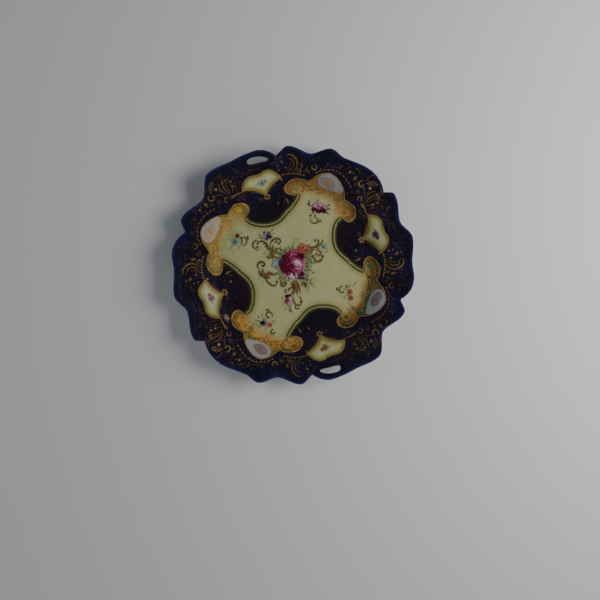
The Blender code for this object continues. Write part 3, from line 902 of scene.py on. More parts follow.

# dark stroke, warm stroke, light stroke, green, for each corner; the left-hand corners are painted lighter and the
# right-hand ones darker, partly as painted light and shade
EAR_TONE_AND_SHADE = ((rgb(84, 52, 26), rgb(164, 96, 44), rgb(180, 152, 86), rgb(96, 106, 58)),
             (rgb(92, 66, 24), rgb(160, 116, 36), rgb(190, 166, 86), rgb(104, 116, 60)),
             (rgb(70, 50, 20), rgb(178, 116, 38), rgb(204, 166, 76), rgb(70, 92, 42)),
             (rgb(38, 32, 16), rgb(150, 72, 30), rgb(120, 136, 66), rgb(34, 92, 48)))
LEAFAGE = (34, 26, 64, 70)
EAR_SPOTS = (((-5.5, 78, 3.0, 3.6, 0, rgb(168, 92, 62), 0.7), (0.5, 79, 3.4, 3.0, 0, rgb(112, 122, 72), 0.65), (6, 82, 4.2, 2.2, 10, rgb(158, 96, 46), 0.7),
              (3.5, 76.5, 3.2, 1.6, 0, rgb(150, 82, 50), 0.6), (13, 79.5, 4.6, 3.2, 0, rgb(158, 106, 50), 0.5), (22, 84, 3.4, 4.6, -20, rgb(158, 106, 44), 0.55),
              (53.5, 60, 3.0, 3.6, 0, rgb(122, 112, 58), 0.6), (56.5, 53, 3.2, 4.2, 0, rgb(160, 118, 52), 0.6), (51, 53.5, 2.6, 3.4, 0, rgb(134, 86, 40), 0.6),
              (47, 68, 2.6, 5.0, 10, rgb(124, 112, 60), 0.6), (40, 74, 5.0, 2.2, -20, rgb(164, 112, 54), 0.5)),
             ((-4.5, 80, 3.2, 3.2, 0, rgb(112, 106, 52), 0.6), (1.5, 80, 3.4, 3.2, 0, rgb(150, 128, 44), 0.65), (6.5, 82, 3.4, 2.2, 10, rgb(112, 112, 52), 0.6),
              (13.5, 81, 3.4, 3.0, 0, rgb(134, 122, 66), 0.6), (17, 84.5, 3.2, 2.0, 10, rgb(128, 124, 66), 0.6), (57, 55, 3.2, 5.0, 20, rgb(168, 142, 44), 0.65),
              (52.5, 60.5, 2.8, 3.4, 0, rgb(150, 118, 46), 0.6), (53.5, 50, 2.6, 3.6, 0, rgb(116, 92, 34), 0.6), (42, 68, 6.0, 3.4, -40, rgb(172, 122, 60), 0.6),
              (33, 73, 6.0, 2.2, -10, rgb(172, 130, 68), 0.5)),
             ((-5, 79.5, 4.2, 3.2, 20, rgb(140, 116, 40), 0.7), (0, 81, 3.2, 2.2, 20, rgb(44, 36, 12), 0.6), (4, 77.5, 3.4, 3.0, 0, rgb(150, 98, 30), 0.6),
              (7.5, 75, 2.2, 3.0, 0, rgb(92, 58, 34), 0.7), (12, 80, 2.2, 4.6, -10, rgb(58, 48, 22), 0.7), (8, 84.5, 6.0, 1.8, 0, rgb(62, 84, 42), 0.65),
              (18, 85.4, 5.0, 2.0, 10, rgb(72, 88, 46), 0.65), (19, 79, 3.4, 3.2, 0, rgb(164, 96, 38), 0.6), (45.5, 72, 2.4, 4.8, 15, rgb(76, 92, 36), 0.75),
              (44, 64, 3.4, 4.4, 10, rgb(112, 92, 40), 0.7), (54, 55.5, 4.4, 4.0, 20, rgb(178, 118, 34), 0.75), (55.5, 54.5, 1.8, 1.4, 0, rgb(206, 162, 84), 0.8),
              (49.5, 60, 3.6, 3.0, 0, rgb(150, 100, 34), 0.6), (30, 73, 7.0, 2.6, -12, rgb(166, 96, 44), 0.5)),
             ((0.5, 78.4, 3.0, 4.2, 0, rgb(36, 104, 46), 0.75), (-5, 77, 2.4, 3.4, 0, rgb(134, 58, 34), 0.65), (5.5, 80, 2.8, 3.0, 0, rgb(112, 62, 30), 0.7),
              (12, 78, 2.0, 4.6, -10, rgb(40, 40, 20), 0.75), (17, 80.5, 2.8, 4.4, -10, rgb(112, 76, 36), 0.6), (14.5, 83.5, 3.8, 1.8, 20, rgb(58, 76, 38), 0.7),
              (22, 77.5, 3.4, 2.2, 0, rgb(120, 82, 38), 0.6), (44, 72.6, 6.0, 2.2, -28, rgb(42, 92, 52), 0.75), (33, 75, 6.0, 1.8, -12, rgb(56, 92, 52), 0.7),
              (46.5, 65.5, 3.8, 3.0, -20, rgb(72, 56, 34), 0.7), (53, 60.5, 4.4, 3.0, -20, rgb(150, 84, 30), 0.75), (56, 56, 2.2, 3.0, 0, rgb(34, 108, 50), 0.75),
              (57.5, 49.5, 2.2, 2.6, 0, rgb(140, 70, 40), 0.6), (52, 54, 2.4, 3.0, 0, rgb(58, 46, 22), 0.7), (40, 68.5, 3.2, 2.4, 0, rgb(134, 84, 44), 0.6)))
P = Paint()
for k in range(4):
    lobe = turned(LOBE, k)
    stroke(P, offset_path(lobe, 1.7), 2.2, rgb(132, 136, 84), h=0.10, kind="even", edge=rgb(84, 84, 42))
    stroke(P, offset_path(lobe, 3.7), 2.3, rgb(50, 56, 24), h=0.09, kind="even", edge=rgb(30, 34, 14))
    stroke(P, offset_path(lobe, -0.9), 0.9, rgb(104, 112, 56), h=0.09, kind="taper")
    # the pointed break in the band
    for pts in (((50, 9.5), (54.5, 7.5), (58.5, 3.5)), ((52, 5.5), (56.5, 3), (60.5, -2))):
        stroke(P, turned(pts, k), 1.5, rgb(142, 140, 86), h=0.16, kind="leaf", edge=rgb(64, 60, 26))
    # green band inside each cartouche's frame
    loop = [turn1(x, y, -k % 4) for x, y in CARTOUCHE]
    stroke(P, offset_path(loop, -1.5, closed=True), 1.5, rgb(112, 118, 62), h=0.10,
           closed=True, edge=rgb(140, 134, 78))
    # scrolled ears, painted with close curved strokes
    rnd = random.Random(50 + k)
    dark, warm, light, green = EAR_TONE_AND_SHADE[k]
    for j in (1, 4, 5):                     # left ear: strokes that wind about its eye
        r = 1.7 + 1.55 * j
        ex, ey = 1.15, 0.86
        cx, cy = 1.6 + 0.25 * j, 78.8
        a0, a1 = (60, 290) if j < 4 else (75 + 8 * (j - 3), 262 - 10 * (j - 3))
        pts = [(cx + ex * r * math.cos(math.radians(t)) * 0.98, cy + ey * r * math.sin(math.radians(t)))
               for t in np.linspace(a0, a1, 8)]
        pts = [q for q in pts if q[1] > 72.4]
        WASH.brush(turned(pts, k), 1.5, (dark, green, dark, green, dark, dark)[j], alpha=0.45, soft=0.8)
        stroke(P, turned(pts, k), 0.7, (dark, green, warm, green, dark, light)[j], h=0.10, kind="taper",
               col2=(dark, green * 1.3, warm, green * 1.3, dark, light)[j])
    for j in range(13):
        a = math.radians(62 + j * 17)
        r0, r1 = 4.0 + rnd.uniform(-1, 1), 8.2 + rnd.uniform(-1, 0.3)
        p0, p1 = (2.2 + r0 * 1.15 * math.cos(a), 78.8 + r0 * 0.86 * math.sin(a)), \
                 (2.2 + r1 * 1.15 * math.cos(a + 0.2), 78.8 + r1 * 0.86 * math.sin(a + 0.2))
        if p1[1] > 72.6:
            if j % 2:
                WASH.brush(turned((p0, ((p0[0] + p1[0]) / 2 + 0.4, (p0[1] + p1[1]) / 2 - 0.5), p1), k), 2.0, dark * 0.8, alpha=0.65, soft=0.9)
            stroke(P, turned((p0, ((p0[0] + p1[0]) / 2 + 0.2, (p0[1] + p1[1]) / 2 - 0.2), p1), k), 0.5, dark, h=0.09,
                   col2=warm)
    for j in (1, 4, 5):                     # right ear: a shell of arcs
        r = 2.2 + 1.65 * j
        a0, a1 = -86 + 3 * j, 74 - 4 * j
        pts = [(52.0 + r * math.cos(math.radians(t)), 54.2 + 0.98 * r * math.sin(math.radians(t)))
               for t in np.linspace(a0, a1, 8)]
        WASH.brush(turned(pts, k), 1.4, dark, alpha=(0.6, 0.2, 0.6, 0.2, 0.6, 0.3)[j], soft=0.7)
        stroke(P, turned(pts, k), 0.85, (dark, light, green, light, dark, light)[j], h=0.10, kind="taper",
               col2=(dark, light, green, light, dark, light)[j])
    for j in range(15):
        a = math.radians(-74 + j * 10.2)
        r0, r1 = 4.4 + rnd.uniform(-1.5, 1), 9.3 + rnd.uniform(-1.2, 0.2)
        p0, p1 = (52.0 + r0 * math.cos(a), 54.2 + r0 * math.sin(a)), (52.0 + r1 * math.cos(a), 54.2 + r1 * math.sin(a))
        if j % 2:
            WASH.brush(turned((p0, ((p0[0] + p1[0]) / 2 + 0.5, (p0[1] + p1[1]) / 2 + 0.3), p1), k), 1.9, dark * 0.8, alpha=0.65, soft=0.9)
        stroke(P, turned((p0, ((p0[0] + p1[0]) / 2, (p0[1] + p1[1]) / 2 + 0.15), p1), k), 0.45, dark, h=0.09, col2=warm)
    # shaded rims and spots of strong colour on the ears
    shade = (rgb(92, 70, 34), rgb(104, 86, 34), rgb(84, 70, 26), rgb(40, 46, 20))[k]
    for pts, w_ in ((((6.5, 72.2), (0, 72.8), (-5.8, 74.8), (-7.8, 78), (-6, 82), (-1, 84.4), (5, 85.4), (10, 85.0)), 2.6),
                    (((52.6, 65.2), (56.6, 62.6), (60.2, 58.6), (61.2, 53.6), (60.4, 49.0), (57, 46.2), (52.4, 47.6)), 2.8),
                    (((49.2, 75), (49.8, 70), (50.2, 66.4), (53, 64.6)), 2.2),
                    (((14.5, 83.8), (18.8, 86.2), (23.6, 89.4)), 2.0)):
        WASH.brush(turned(pts, k), w_, shade, alpha=0.72, soft=0.8, even=True)
    for x, y, a_, b_, t_, c_, al in EAR_SPOTS[k]:
        X, Y = turn1(x, y, k)
        WASH.dab(X, Y, a_ * 1.1, b_ * 1.1, t_ + 90 * k, c_, alpha=min(0.95, al * 1.35), soft=0.8)
    # scroll strokes between the left ear and the medallion
    for i, pts in enumerate((((8, 84.6), (11, 83.0), (13.4, 80.4), (16.4, 79.6), (18.8, 81.6), (18.0, 84.0)),
                             ((6.5, 81.8), (9.6, 79.6), (10.4, 76.8), (8.4, 74.6), (5.6, 75.2)),
                             ((20, 85.6), (21.6, 82.4), (20.4, 79.4), (17.4, 78.0)),
                             ((12.4, 75.4), (15.4, 76.6), (18.6, 76.2), (22, 77.0), (25, 79.4)),
                             ((10.0, 81.8), (12.2, 78.6), (15.2, 77.0)),
                             ((13.6, 83.4), (15.0, 85.2), (18.0, 85.6)),
                             ((22.6, 87.4), (23.6, 84.0), (23.0, 80.6)),
                             ((5.0, 85.4), (9.5, 85.7), (14, 83.6)))):
        WASH.brush(turned(pts, k), 2.6, (dark, dark, dark, dark, green, green, dark, green)[i], alpha=0.55, soft=0.8)
        stroke(P, turned(pts, k), (1.5, 1.3, 1.2, 1.2, 1.1, 1.0, 1.3, 1.0)[i], (dark, dark, warm, dark, warm, green, dark, green)[i],
               h=0.11, kind="taper", col2=(warm, warm, light, warm, light, warm, warm, dark)[i], edge=dark * 0.7)
    # green leafage under the medallion and down to the right ear
    spine = curve(((20.5, 80.5), (25, 78.6), (30, 76.8), (35, 75.2), (40, 73.8), (44, 72.2), (47, 69.6), (49.6, 66.6)), 0.5)
    for j in range(LEAFAGE[k]):
        c0 = spine[int(rnd.random() * (len(spine) - 1))]
        x, y = c0[0] + rnd.gauss(0, 0.6), c0[1] + rnd.gauss(-0.2, 1.0)
        g0 = mix(green, dark, rnd.random() * 0.6)[0]
        leaf(P, *turn1(x, y, k), rnd.choice((-60, -20, 20, 200, 240, 280)) + rnd.uniform(-25, 25) + 90 * k,
             rnd.uniform(1.9, 3.1), rnd.uniform(0.9, 1.4), g0 * 0.7, g0 * 1.25, bend=rnd.uniform(-0.2, 0.2), h=0.06,
             base=0.05, rib=False)
    for j in range(LEAFAGE[k] // 2):        # olive leaves beside the right ear
        x, y = rnd.gauss(43.8, 2.2), rnd.gauss(64.5, 3.6)
        if polyline_distance(np.array([turn1(x, y, k)]), reserve, True)[0] < 1.6:
            continue
        g0 = mix(green, warm, rnd.random())[0]
        leaf(P, *turn1(x, y, k), rnd.uniform(200, 340) + 90 * k, rnd.uniform(2.0, 3.4), rnd.uniform(0.9, 1.5),
             g0 * 0.75, g0 * 1.15, bend=rnd.uniform(-0.2, 0.2), h=0.06, base=0.05, rib=False)
    for j in range(18 if k > 1 else 8):     # brown sprigs on the shaded ground
        x, y = 21.5 + 13 * rnd.random(), 75.4 - 6.5 * rnd.random() * (1.0 if k > 1 else 0.5)
        y -= 0.10 * (x - 22)
        g0 = mix(dark, warm, rnd.random())[0]
        leaf(P, *turn1(x, y, k), rnd.uniform(0, 360), rnd.uniform(1.6, 2.8), rnd.uniform(0.7, 1.1), g0, g0 * 1.2,
             h=0.05, base=0.05, rib=False)
P.build("reserve_border_enamels", M_ENAMEL, slot="reserve_glaze")

# ------------------------------------------------------------- lace medallions
# lace band, ground inside it, rosette root, rosette tip
LACE_TINT = ((rgb(146, 143, 138), rgb(138, 131, 116), rgb(150, 92, 76), rgb(160, 128, 84)),
             (rgb(172, 162, 146), rgb(168, 152, 132), rgb(164, 106, 76), rgb(176, 134, 98)),
             (rgb(158, 158, 154), rgb(126, 108, 100), rgb(132, 70, 70), rgb(146, 104, 92)),
             (rgb(138, 142, 148), rgb(104, 92, 94), rgb(100, 64, 72), rgb(120, 92, 96)))
MED_C = np.array([33.8, 83.6])
MED_GROW = 1.3
for k, corner in enumerate(("ne", "nw", "sw", "se")):
    P = Paint()
    rnd = random.Random(90 + k)
    band, ground, root, tip = LACE_TINT[k]
    wide = [tuple(c0) for c0 in offset_path(MEDALLION, MED_GROW, step=1.6, closed=True)]
    blob(P, turned(wide, k), band * 0.92, h=0.20, base=0.06, mid=band,
         rings=(1.0, 0.93, 0.8, 0.6, 0.4, 0.2), step=1.0)
    # the darker oval ground, a slanted lens
    oval = ellipse(MED_C[0], MED_C[1], 8.9, 4.7, -31, n=20, wob=0.05, seed=k)
    blob(P, turned(oval, k), ground * 0.75, h=0.10, base=0.22, mid=ground, rings=(1.0, 0.9, 0.7, 0.45, 0.2), step=0.9)
    ov = curve(oval, 0.95, True)
    for i, c0 in enumerate(ov):
        dot(P, *turn1(c0[0], c0[1], k), 0.5, band * 0.9, h=0.40, base=0.06, mid=band * 1.15)
    # net of fine threads across the oval
    ca, sa = math.cos(math.radians(-33)), math.sin(math.radians(-33))
    for sgn in (1, -1):
        for j in range(-6, 7):
            u0 = j * 1.65
            pts = []
            for t in np.linspace(-1, 1, 15):
                u, v = u0 + sgn * t * 4.2, t * 4.6
                if (u / 8.4) ** 2 + (v / 4.3) ** 2 < 1.0:
                    pts.append((MED_C[0] + u * ca - v * sa, MED_C[1] + u * sa + v * ca))
            if len(pts) > 2:
                stroke(P, turned(pts, k), 0.34, mix(ground, band, 0.55)[0], h=0.42, kind="even")
    for j in range(6):                       # small rosette on the net
        a = 60 * j + 15 * k
        x, y = turn1(MED_C[0] + 0.6, MED_C[1] - 0.4, k)
        petal(P, x, y, a, 3.0, 2.1, root, tip, h=0.40, base=0.06)
    dot(P, *turn1(MED_C[0] + 0.6, MED_C[1] - 0.4, k), 0.6, tip, h=0.5)
    for j in range(7):
        u, v = rnd.uniform(-7, 7), rnd.uniform(-2.6, 2.6)
        dot(P, *turn1(MED_C[0] + u * ca - v * sa, MED_C[1] + u * sa + v * ca, k), 0.5, root, h=0.42, mid=tip)
    for i in range(16):                      # sprigs of thread worked across the band
        a = 2 * math.pi * i / 16
        x0, y0 = MED_C[0] + 9.4 * math.cos(a) * ca - 5.2 * math.sin(a) * sa, MED_C[1] + 9.4 * math.cos(a) * sa + 5.2 * math.sin(a) * ca
        x1, y1 = MED_C[0] + 11.2 * math.cos(a + 0.15) * ca - 6.8 * math.sin(a + 0.15) * sa, \
            MED_C[1] + 11.2 * math.cos(a + 0.15) * sa + 6.8 * math.sin(a + 0.15) * ca
        if inside_mask(np.array([(x1, y1)]), np.asarray(wide))[0]:
            stroke(P, turned(((x0, y0), ((x0 + x1) / 2 + 0.3, (y0 + y1) / 2), (x1, y1)), k), 0.5, ground * 0.85, h=0.30, base=0.05, kind="leaf")
    # scalloped edge and crochet loops of the band
    out = curve(wide, 1.5, True)
    cm = out.mean(0)
    for i in range(len(out)):
        q = out[i] + (cm - out[i]) / np.linalg.norm(cm - out[i]) * 1.0
        dot(P, *turn1(q[0], q[1], k), 0.62, band * 0.95, h=0.36, base=0.04, mid=band * 1.25)
        q2 = out[i] + (cm - out[i]) / np.linalg.norm(cm - out[i]) * 2.3
        if ((q2 - MED_C) @ np.array([ca, sa]) / 9.9) ** 2 + ((q2 - MED_C) @ np.array([-sa, ca]) / 5.7) ** 2 > 1.0:
            dot(P, *turn1(q2[0], q2[1], k), 0.4, ground * 0.9, h=0.30, base=0.05, mid=band * 1.1)
    P.build("medallion_lace_" + corner, M_LACE, replaces=("medallion_enamel_" + corner,), slot="enamel")

# ------------------------------------------------------------ gilding on cobalt


def scroll(P, cx, cy, r, a0, a1, w, col, h=0.26, shrink=0.45, ball=True, col2=None):
    """A C-scroll: an arc that winds inwards and ends in a bead."""
    pts = []
    for j in range(9):
        t = j / 8.0
        a = math.radians(a0 + (a1 - a0) * t)
        rr = r * (1.0 - (1.0 - shrink) * t)
        pts.append((cx + rr * math.cos(a), cy + rr * math.sin(a)))
    stroke(P, pts, w, col, h=h, kind="tail" if not ball else "taper", col2=col2)
    if ball:
        dot(P, pts[-1][0], pts[-1][1], w * 0.62, col, h=h + 0.08)


def keep_in(p, gap=2.6):
    """Pull a point of the rim gilding back inside the lobed edge."""
    r = math.hypot(p[0], p[1])
    top = rim_radius(math.atan2(p[1], p[0])) / G - gap
    return (p[0] * top / r, p[1] * top / r) if r > top else (p[0], p[1])


def gild(P, pts, k, w, col, h=0.26, kind="taper", col2=None):
    stroke(P, [keep_in(q) for q in turned(pts, k)], w, col, h=h, kind=kind, col2=col2)


LOBE_GOLD = rgb(74, 50, 36)


def inside_of(pts, poly):
    poly = np.asarray(poly, float)
    x, y = pts[:, 0][:, None], pts[:, 1][:, None]
    ax, ay = poly[:, 0][None], poly[:, 1][None]
    bx, by = np.roll(poly[:, 0], -1)[None], np.roll(poly[:, 1], -1)[None]
    hit = ((ay > y) != (by > y)) & (x < (bx - ax) * (y - ay) / (by - ay + 1e-12) + ax)
    return hit.sum(1) % 2 == 1


def filigree(P, k):
    """Small dull-gold commas and curls that fill the cobalt between the larger motifs."""
    rnd = random.Random(11)
    res_line = curve(reserve, 1.5, True)
    cars = [curve([turn1(x, y, j) for x, y in CARTOUCHE], 1.5, True) for j in range(4)]
    cell = 4.3
    spots = []
    for iy in range(-6, 27):
        for ix in range(-6, 27):
            x = ix * cell + (0.5 * cell if iy % 2 else 0) + rnd.uniform(-1.0, 1.0)
            y = iy * cell * 0.9 + rnd.uniform(-1.0, 1.0)
            t = math.degrees(math.atan2(y, x))
            if -18.0 <= t < 72.0:
                spots.append((x, y, rnd.random(), rnd.uniform(0, 360)))
    q = np.array([turn1(s_[0], s_[1], k) for s_ in spots])
    ok = ~inside_of(q, res_line) & (polyline_distance(q, res_line, True) > 2.6)
    for c in cars:
        ok &= ~inside_of(q, c) & (polyline_distance(q, c, True) > 2.2)
    for (x, y, u, a), good, at_ in zip(spots, ok, q):
        rr = math.hypot(at_[0], at_[1])
        edge = rim_radius(math.atan2(at_[1], at_[0])) / G - rr
        if not good or edge < 4.5:
            continue
        if slot_near(at_):
            continue
        tone = mix(FILI_DARK, FILI_LIGHT, u)[0] * (0.32 if rr < 68 else 1.0)
        if u < 0.34:
            scroll(P, at_[0], at_[1], 1.25, a, a + 250, 0.55, tone, h=0.16, shrink=0.5)
        elif u < 0.72:
            ang = math.radians(a)
            c_, s_ = math.cos(ang), math.sin(ang)
            P_ = [(at_[0] + v * c_ - w * s_, at_[1] + v * s_ + w * c_) for v, w in ((-1.7, 0), (-0.4, 0.7), (1.0, 0.5), (1.9, -0.5))]
            stroke(P, P_, 0.7, tone, h=0.16, kind="tail")
        else:
            for j in range(3):
                ang = math.radians(a + 120 * j)
                dot(P, at_[0] + 0.8 * math.cos(ang), at_[1] + 0.8 * math.sin(ang), 0.5, tone, h=0.2)


FILI_DARK, FILI_LIGHT = rgb(74, 50, 38), rgb(132, 98, 60)
SLOTS = np.array([[-35.5, 104.2], [35.5, -104.2]])


def slot_near(p):
    d = np.abs(SLOTS - np.asarray(p))
    return bool(np.any((d[:, 0] < 13.5) & (d[:, 1] < 6.5)))


for k in range(4):
    P = Paint()
    rnd = random.Random(300 + k)
    filigree(P, k)

    def at(x, y):
        return keep_in(turn1(x, y, k), 4.2)

    def sc(x, y, r, a0, a1, w, col=GOLD, **kw):
        X, Y = at(x, y)
        scroll(P, X, Y, r, a0 + 90 * k, a1 + 90 * k, w, col, **kw)

    # plume beside the cartouche
    gild(P, ((75.5, 47.5), (73.5, 52), (71.5, 56), (70, 60), (68.5, 64)), k, 1.5, GOLD * 0.9)
    gild(P, ((70, 58), (68, 61), (66.5, 63.5)), k, 1.8, GOLD * 0.8, kind="leaf")
    sc(65.0, 67.3, 3.0, -60, 210, 1.1, GOLD)
    gild(P, ((72, 60), (76, 61), (80, 63), (85, 65.5)), k, 1.4, GOLD * 0.6, col2=GOLD_DARK * 0.5)
    gild(P, ((72, 62), (76, 65.5), (81, 67.5), (86, 67), (89.5, 64)), k, 1.5, GOLD_DARK * 0.8, col2=ROSE_GOLD * 0.5)
    gild(P, ((71.5, 63), (75, 68), (80, 71), (86, 71.5), (90.5, 69)), k, 1.6, GOLD * 0.7, col2=GOLD_DARK * 0.6)
    gild(P, ((71, 65), (73, 70), (77, 74), (82, 75.5)), k, 1.4, ROSE_GOLD * 0.8, col2=GOLD * 0.6)
    gild(P, ((72.5, 57), (77, 57.5), (82, 59), (87, 61.5)), k, 1.2, ROSE_GOLD * 0.7, col2=GOLD_DARK * 0.5)
    gild(P, ((73.5, 54.5), (78, 54), (83, 55), (87, 57.5)), k, 1.1, GOLD_DARK * 0.7, col2=ROSE_GOLD * 0.5)
    gild(P, ((75, 52.5), (80, 51.6), (85, 52)), k, 1.1, ROSE_GOLD)
    for x, y in ((82.5, 71.5), (84.5, 69.2), (79, 61.6), (83.5, 63.2)):
        dot(P, *at(x, y), 0.9, GOLD_PALE, h=0.34)
    gild(P, ((69.5, 69), (70.5, 73.5), (69, 78.5), (66.5, 82)), k, 1.0, ROSE_GOLD)
    gild(P, ((68, 57), (66, 55.5), (65.8, 53.2)), k, 1.3, ROSE_GOLD)
    for x, y, r in ((67.8, 53.0, 1.0), (70.5, 50.8, 1.1), (66.8, 50.0, 0.8), (72.6, 48.6, 0.8)):
        dot(P, *at(x, y), r, ROSE_GOLD, h=0.3)
    for x, y, r, a0, a1, w_ in ((79.5, 59.8, 2.2, 40, 300, 0.9), (84.5, 66.2, 2.5, 200, -50, 1.0), (77.5, 68.4, 2.0, -30, 220, 0.9),
                                (88.5, 60.2, 1.9, 100, 340, 0.8), (86.8, 73.6, 2.2, -60, 190, 0.9), (74.6, 72.4, 1.8, 60, 300, 0.8),
                                (90.6, 52.4, 2.0, 120, 370, 0.8), (61.4, 81.0, 2.2, 0, 240, 0.9), (13.5, 93.6, 2.4, 200, -40, 1.0),
                                (4.5, 95.4, 2.2, -20, 220, 0.9), (-4.6, 93.4, 2.0, 40, 280, 0.8), (33.5, 100.2, 1.9, 30, 260, 0.8)):
        sc(x, y, r, a0, a1, w_, GOLD * 0.55)
    # two C-scrolls and a shell towards the edge
    sc(67.5, 81.5, 4.0, 60, 330, 1.5, GOLD)
    sc(63.0, 74.5, 2.4, -100, 150, 1.0, ROSE_GOLD)
    for j in range(6):
        a = math.radians(20 + 22 * j)
        gild(P, ((76.2 + 1.6 * math.cos(a), 78.2 + 1.6 * math.sin(a)),
                 (76.5 + 4.2 * math.cos(a), 78.4 + 4.2 * math.sin(a)),
                 (77.0 + 7.2 * math.cos(a + 0.12), 78.6 + 6.6 * math.sin(a + 0.12))), k, 1.35,
             ROSE_GOLD, col2=GOLD, kind="tail")
    dot(P, *at(75.6, 77.6), 1.5, GOLD_PALE, h=0.36)
    gild(P, ((71, 84), (74, 88), (78, 90.5), (83, 90.5)), k, 1.0, ROSE_GOLD)
    # sprays beyond the medallion
    for x, y, r in ((55.5, 93.5, 1.3), (53, 91.6, 0.8), (58.2, 92.4, 0.9), (60.5, 87.5, 1.5), (62.5, 89.5, 0.9),
                    (58.5, 86.0, 0.8), (27, 97, 0.9), (30.5, 98, 0.7)):
        dot(P, *at(x, y), r, GOLD if r > 1 else ROSE_GOLD, h=0.3)
    sc(20.5, 98.5, 3.4, 150, 395, 1.2, GOLD)
    sc(46.5, 97.5, 2.4, 20, 250, 1.0, ROSE_GOLD)
    gild(P, ((34, 97.5), (39, 98.6), (44, 98.0)), k, 0.9, GOLD_DARK)
    gild(P, ((50, 96), (54, 98), (58, 97.5)), k, 0.9, GOLD_DARK)
    for j, p in enumerate(curve(((22, 93.2), (27, 95.2), (34, 95.8), (41, 95), (47, 91.6), (52.5, 86), (56.5, 79.5)), 2.1)):
        dot(P, *at(p[0], p[1]), 0.62 if j % 2 else 0.85, ROSE_GOLD if j % 2 else GOLD, h=0.3)
    # crescents above the lobe
    gild(P, ((110, 8.5), (110.4, 3.5), (107, -1), (101.5, -2.8), (96, -1.2), (92.5, 2.5)), k, 1.8, GOLD, col2=GOLD_DARK, h=0.30)
    gild(P, ((106.5, 6.5), (105.5, 2.5), (101, 0.6), (96.5, 2.5), (94, 6.5)), k, 1.5, GOLD * 0.85, col2=GOLD_DARK * 0.8)
    gild(P, ((102.5, 5.0), (99.5, 3.8), (97, 6), (96.5, 9.5)), k, 1.4, GOLD_DARK)
    blob(P, turned(ellipse(103.5, 12.8, 2.4, 1.3, 60), k), GOLD_DARK, h=0.30, mid=GOLD)
    blob(P, turned(ellipse(100.2, -7.2, 2.9, 1.2, 5), k), GOLD_DARK, h=0.30, mid=GOLD)
    blob(P, turned(ellipse(94.5, -6.0, 1.8, 1.0, 20), k), ROSE_GOLD, h=0.3, mid=GOLD)
    for j in range(9):
        t = j / 8.0
        x, y = 90.6 + 1.6 * math.sin(t * 3.1), 11.5 - 21 * t
        dot(P, *at(x, y), 0.95, GOLD * 0.8 if j % 2 else GOLD, h=0.3)
    for x, y, r in ((86.5, 12.5, 1.2), (95.5, 15.5, 0.9), (99.5, 16.5, 0.8), (98.0, 8.6, 0.9), (107.5, 14.5, 0.8)):
        dot(P, *at(x, y), r, GOLD, h=0.3)
    blob(P, turned(ellipse(87.0, -3.5, 3.6, 1.5, 80), k), ROSE_GOLD, h=0.26, mid=GOLD_DARK)
    # around the foot of the cartouche
    for a in (0, 60, 120, 180, 240, 300):
        x, y = 69.5 + 2.3 * math.cos(math.radians(a)), 26.5 + 2.3 * math.sin(math.radians(a))
        blob(P, turned(ellipse(x, y, 1.5, 0.9, a), k), GOLD, h=0.34, mid=GOLD_PALE)
    dot(P, *at(69.5, 26.5), 0.9, GOLD_DARK, h=0.42)
    gild(P, ((72, 27), (74.5, 24.5), (78.5, 21.5), (82.5, 17)), k, 0.9, ROSE_GOLD)
    gild(P, ((71, 30), (73, 34), (73.6, 39), (73.0, 44)), k, 1.4, GOLD, col2=ROSE_GOLD)
    sc(66.0, 32.5, 2.2, -120, 150, 1.1, ROSE_GOLD)
    dot(P, *at(63.5, 15.5), 1.6, GOLD_DARK, h=0.34, mid=GOLD)
    gild(P, ((68.5, 8.5), (65.5, 6.0), (62.0, 5.0)), k, 1.8, GOLD, kind="leaf")
    gild(P, ((66.0, 9.5), (63.5, 9.0), (61.0, 9.6)), k, 1.3, GOLD_DARK, kind="leaf")
    # shell of fine ribs in the lobe, fanned about the foot of the cartouche
    rim_in = offset_path(LOBE, 6.2, step=0.55)
    hub = np.array([71.0, 27.0])
    for j in range(4, len(rim_in) - 18, 3):
        p = rim_in[j]
        d = hub - p
        dist = np.linalg.norm(d)
        if dist < 14:
            continue
        d /= dist
        n_ = np.array([-d[1], d[0]])
        run = min(15.0, dist * 0.5) * (1.0 if (j // 3) % 2 else 0.62)
        pts = [tuple(p + d * run * t + n_ * 1.1 * math.sin(math.pi * t)) for t in (0, 0.5, 1.0)]
        gild(P, pts, k, 0.6, LOBE_GOLD, h=0.14, col2=LOBE_GOLD * 0.45, kind="drop")
        if (j // 3) % 2:
            q = rim_in[min(j + 3, len(rim_in) - 1)]
            gild(P, (tuple(p - d * 0.2), tuple((p + q) / 2 - d * 1.0), tuple(q - d * 0.2)), k, 0.5, LOBE_GOLD, h=0.13)
    for pts in (((47, 42), (50, 40), (51.5, 36), (50, 32)), ((47, 15), (50, 18), (51, 22), (49.5, 25.5)),
                ((52, 31.5), (56, 33), (60, 31), (60.5, 27.5)), ((55, 20), (58.5, 21.5), (60, 24.5))):
        gild(P, pts, k, 0.9, LOBE_GOLD * 1.2)
    sc(57.5, 29.5, 2.3, -30, 230, 0.9, LOBE_GOLD * 1.3)
    sc(56.5, 19.0, 2.0, 200, -30, 0.8, LOBE_GOLD * 1.2)
    for x, y, r in ((54, 25.5, 1.0), (50.8, 28.6, 0.8), (62, 37, 0.9), (63, 41.5, 0.7), (60, 12, 0.8), (55, 13.5, 0.7)):
        dot(P, *at(x, y), r, LOBE_GOLD * 1.2, h=0.22)
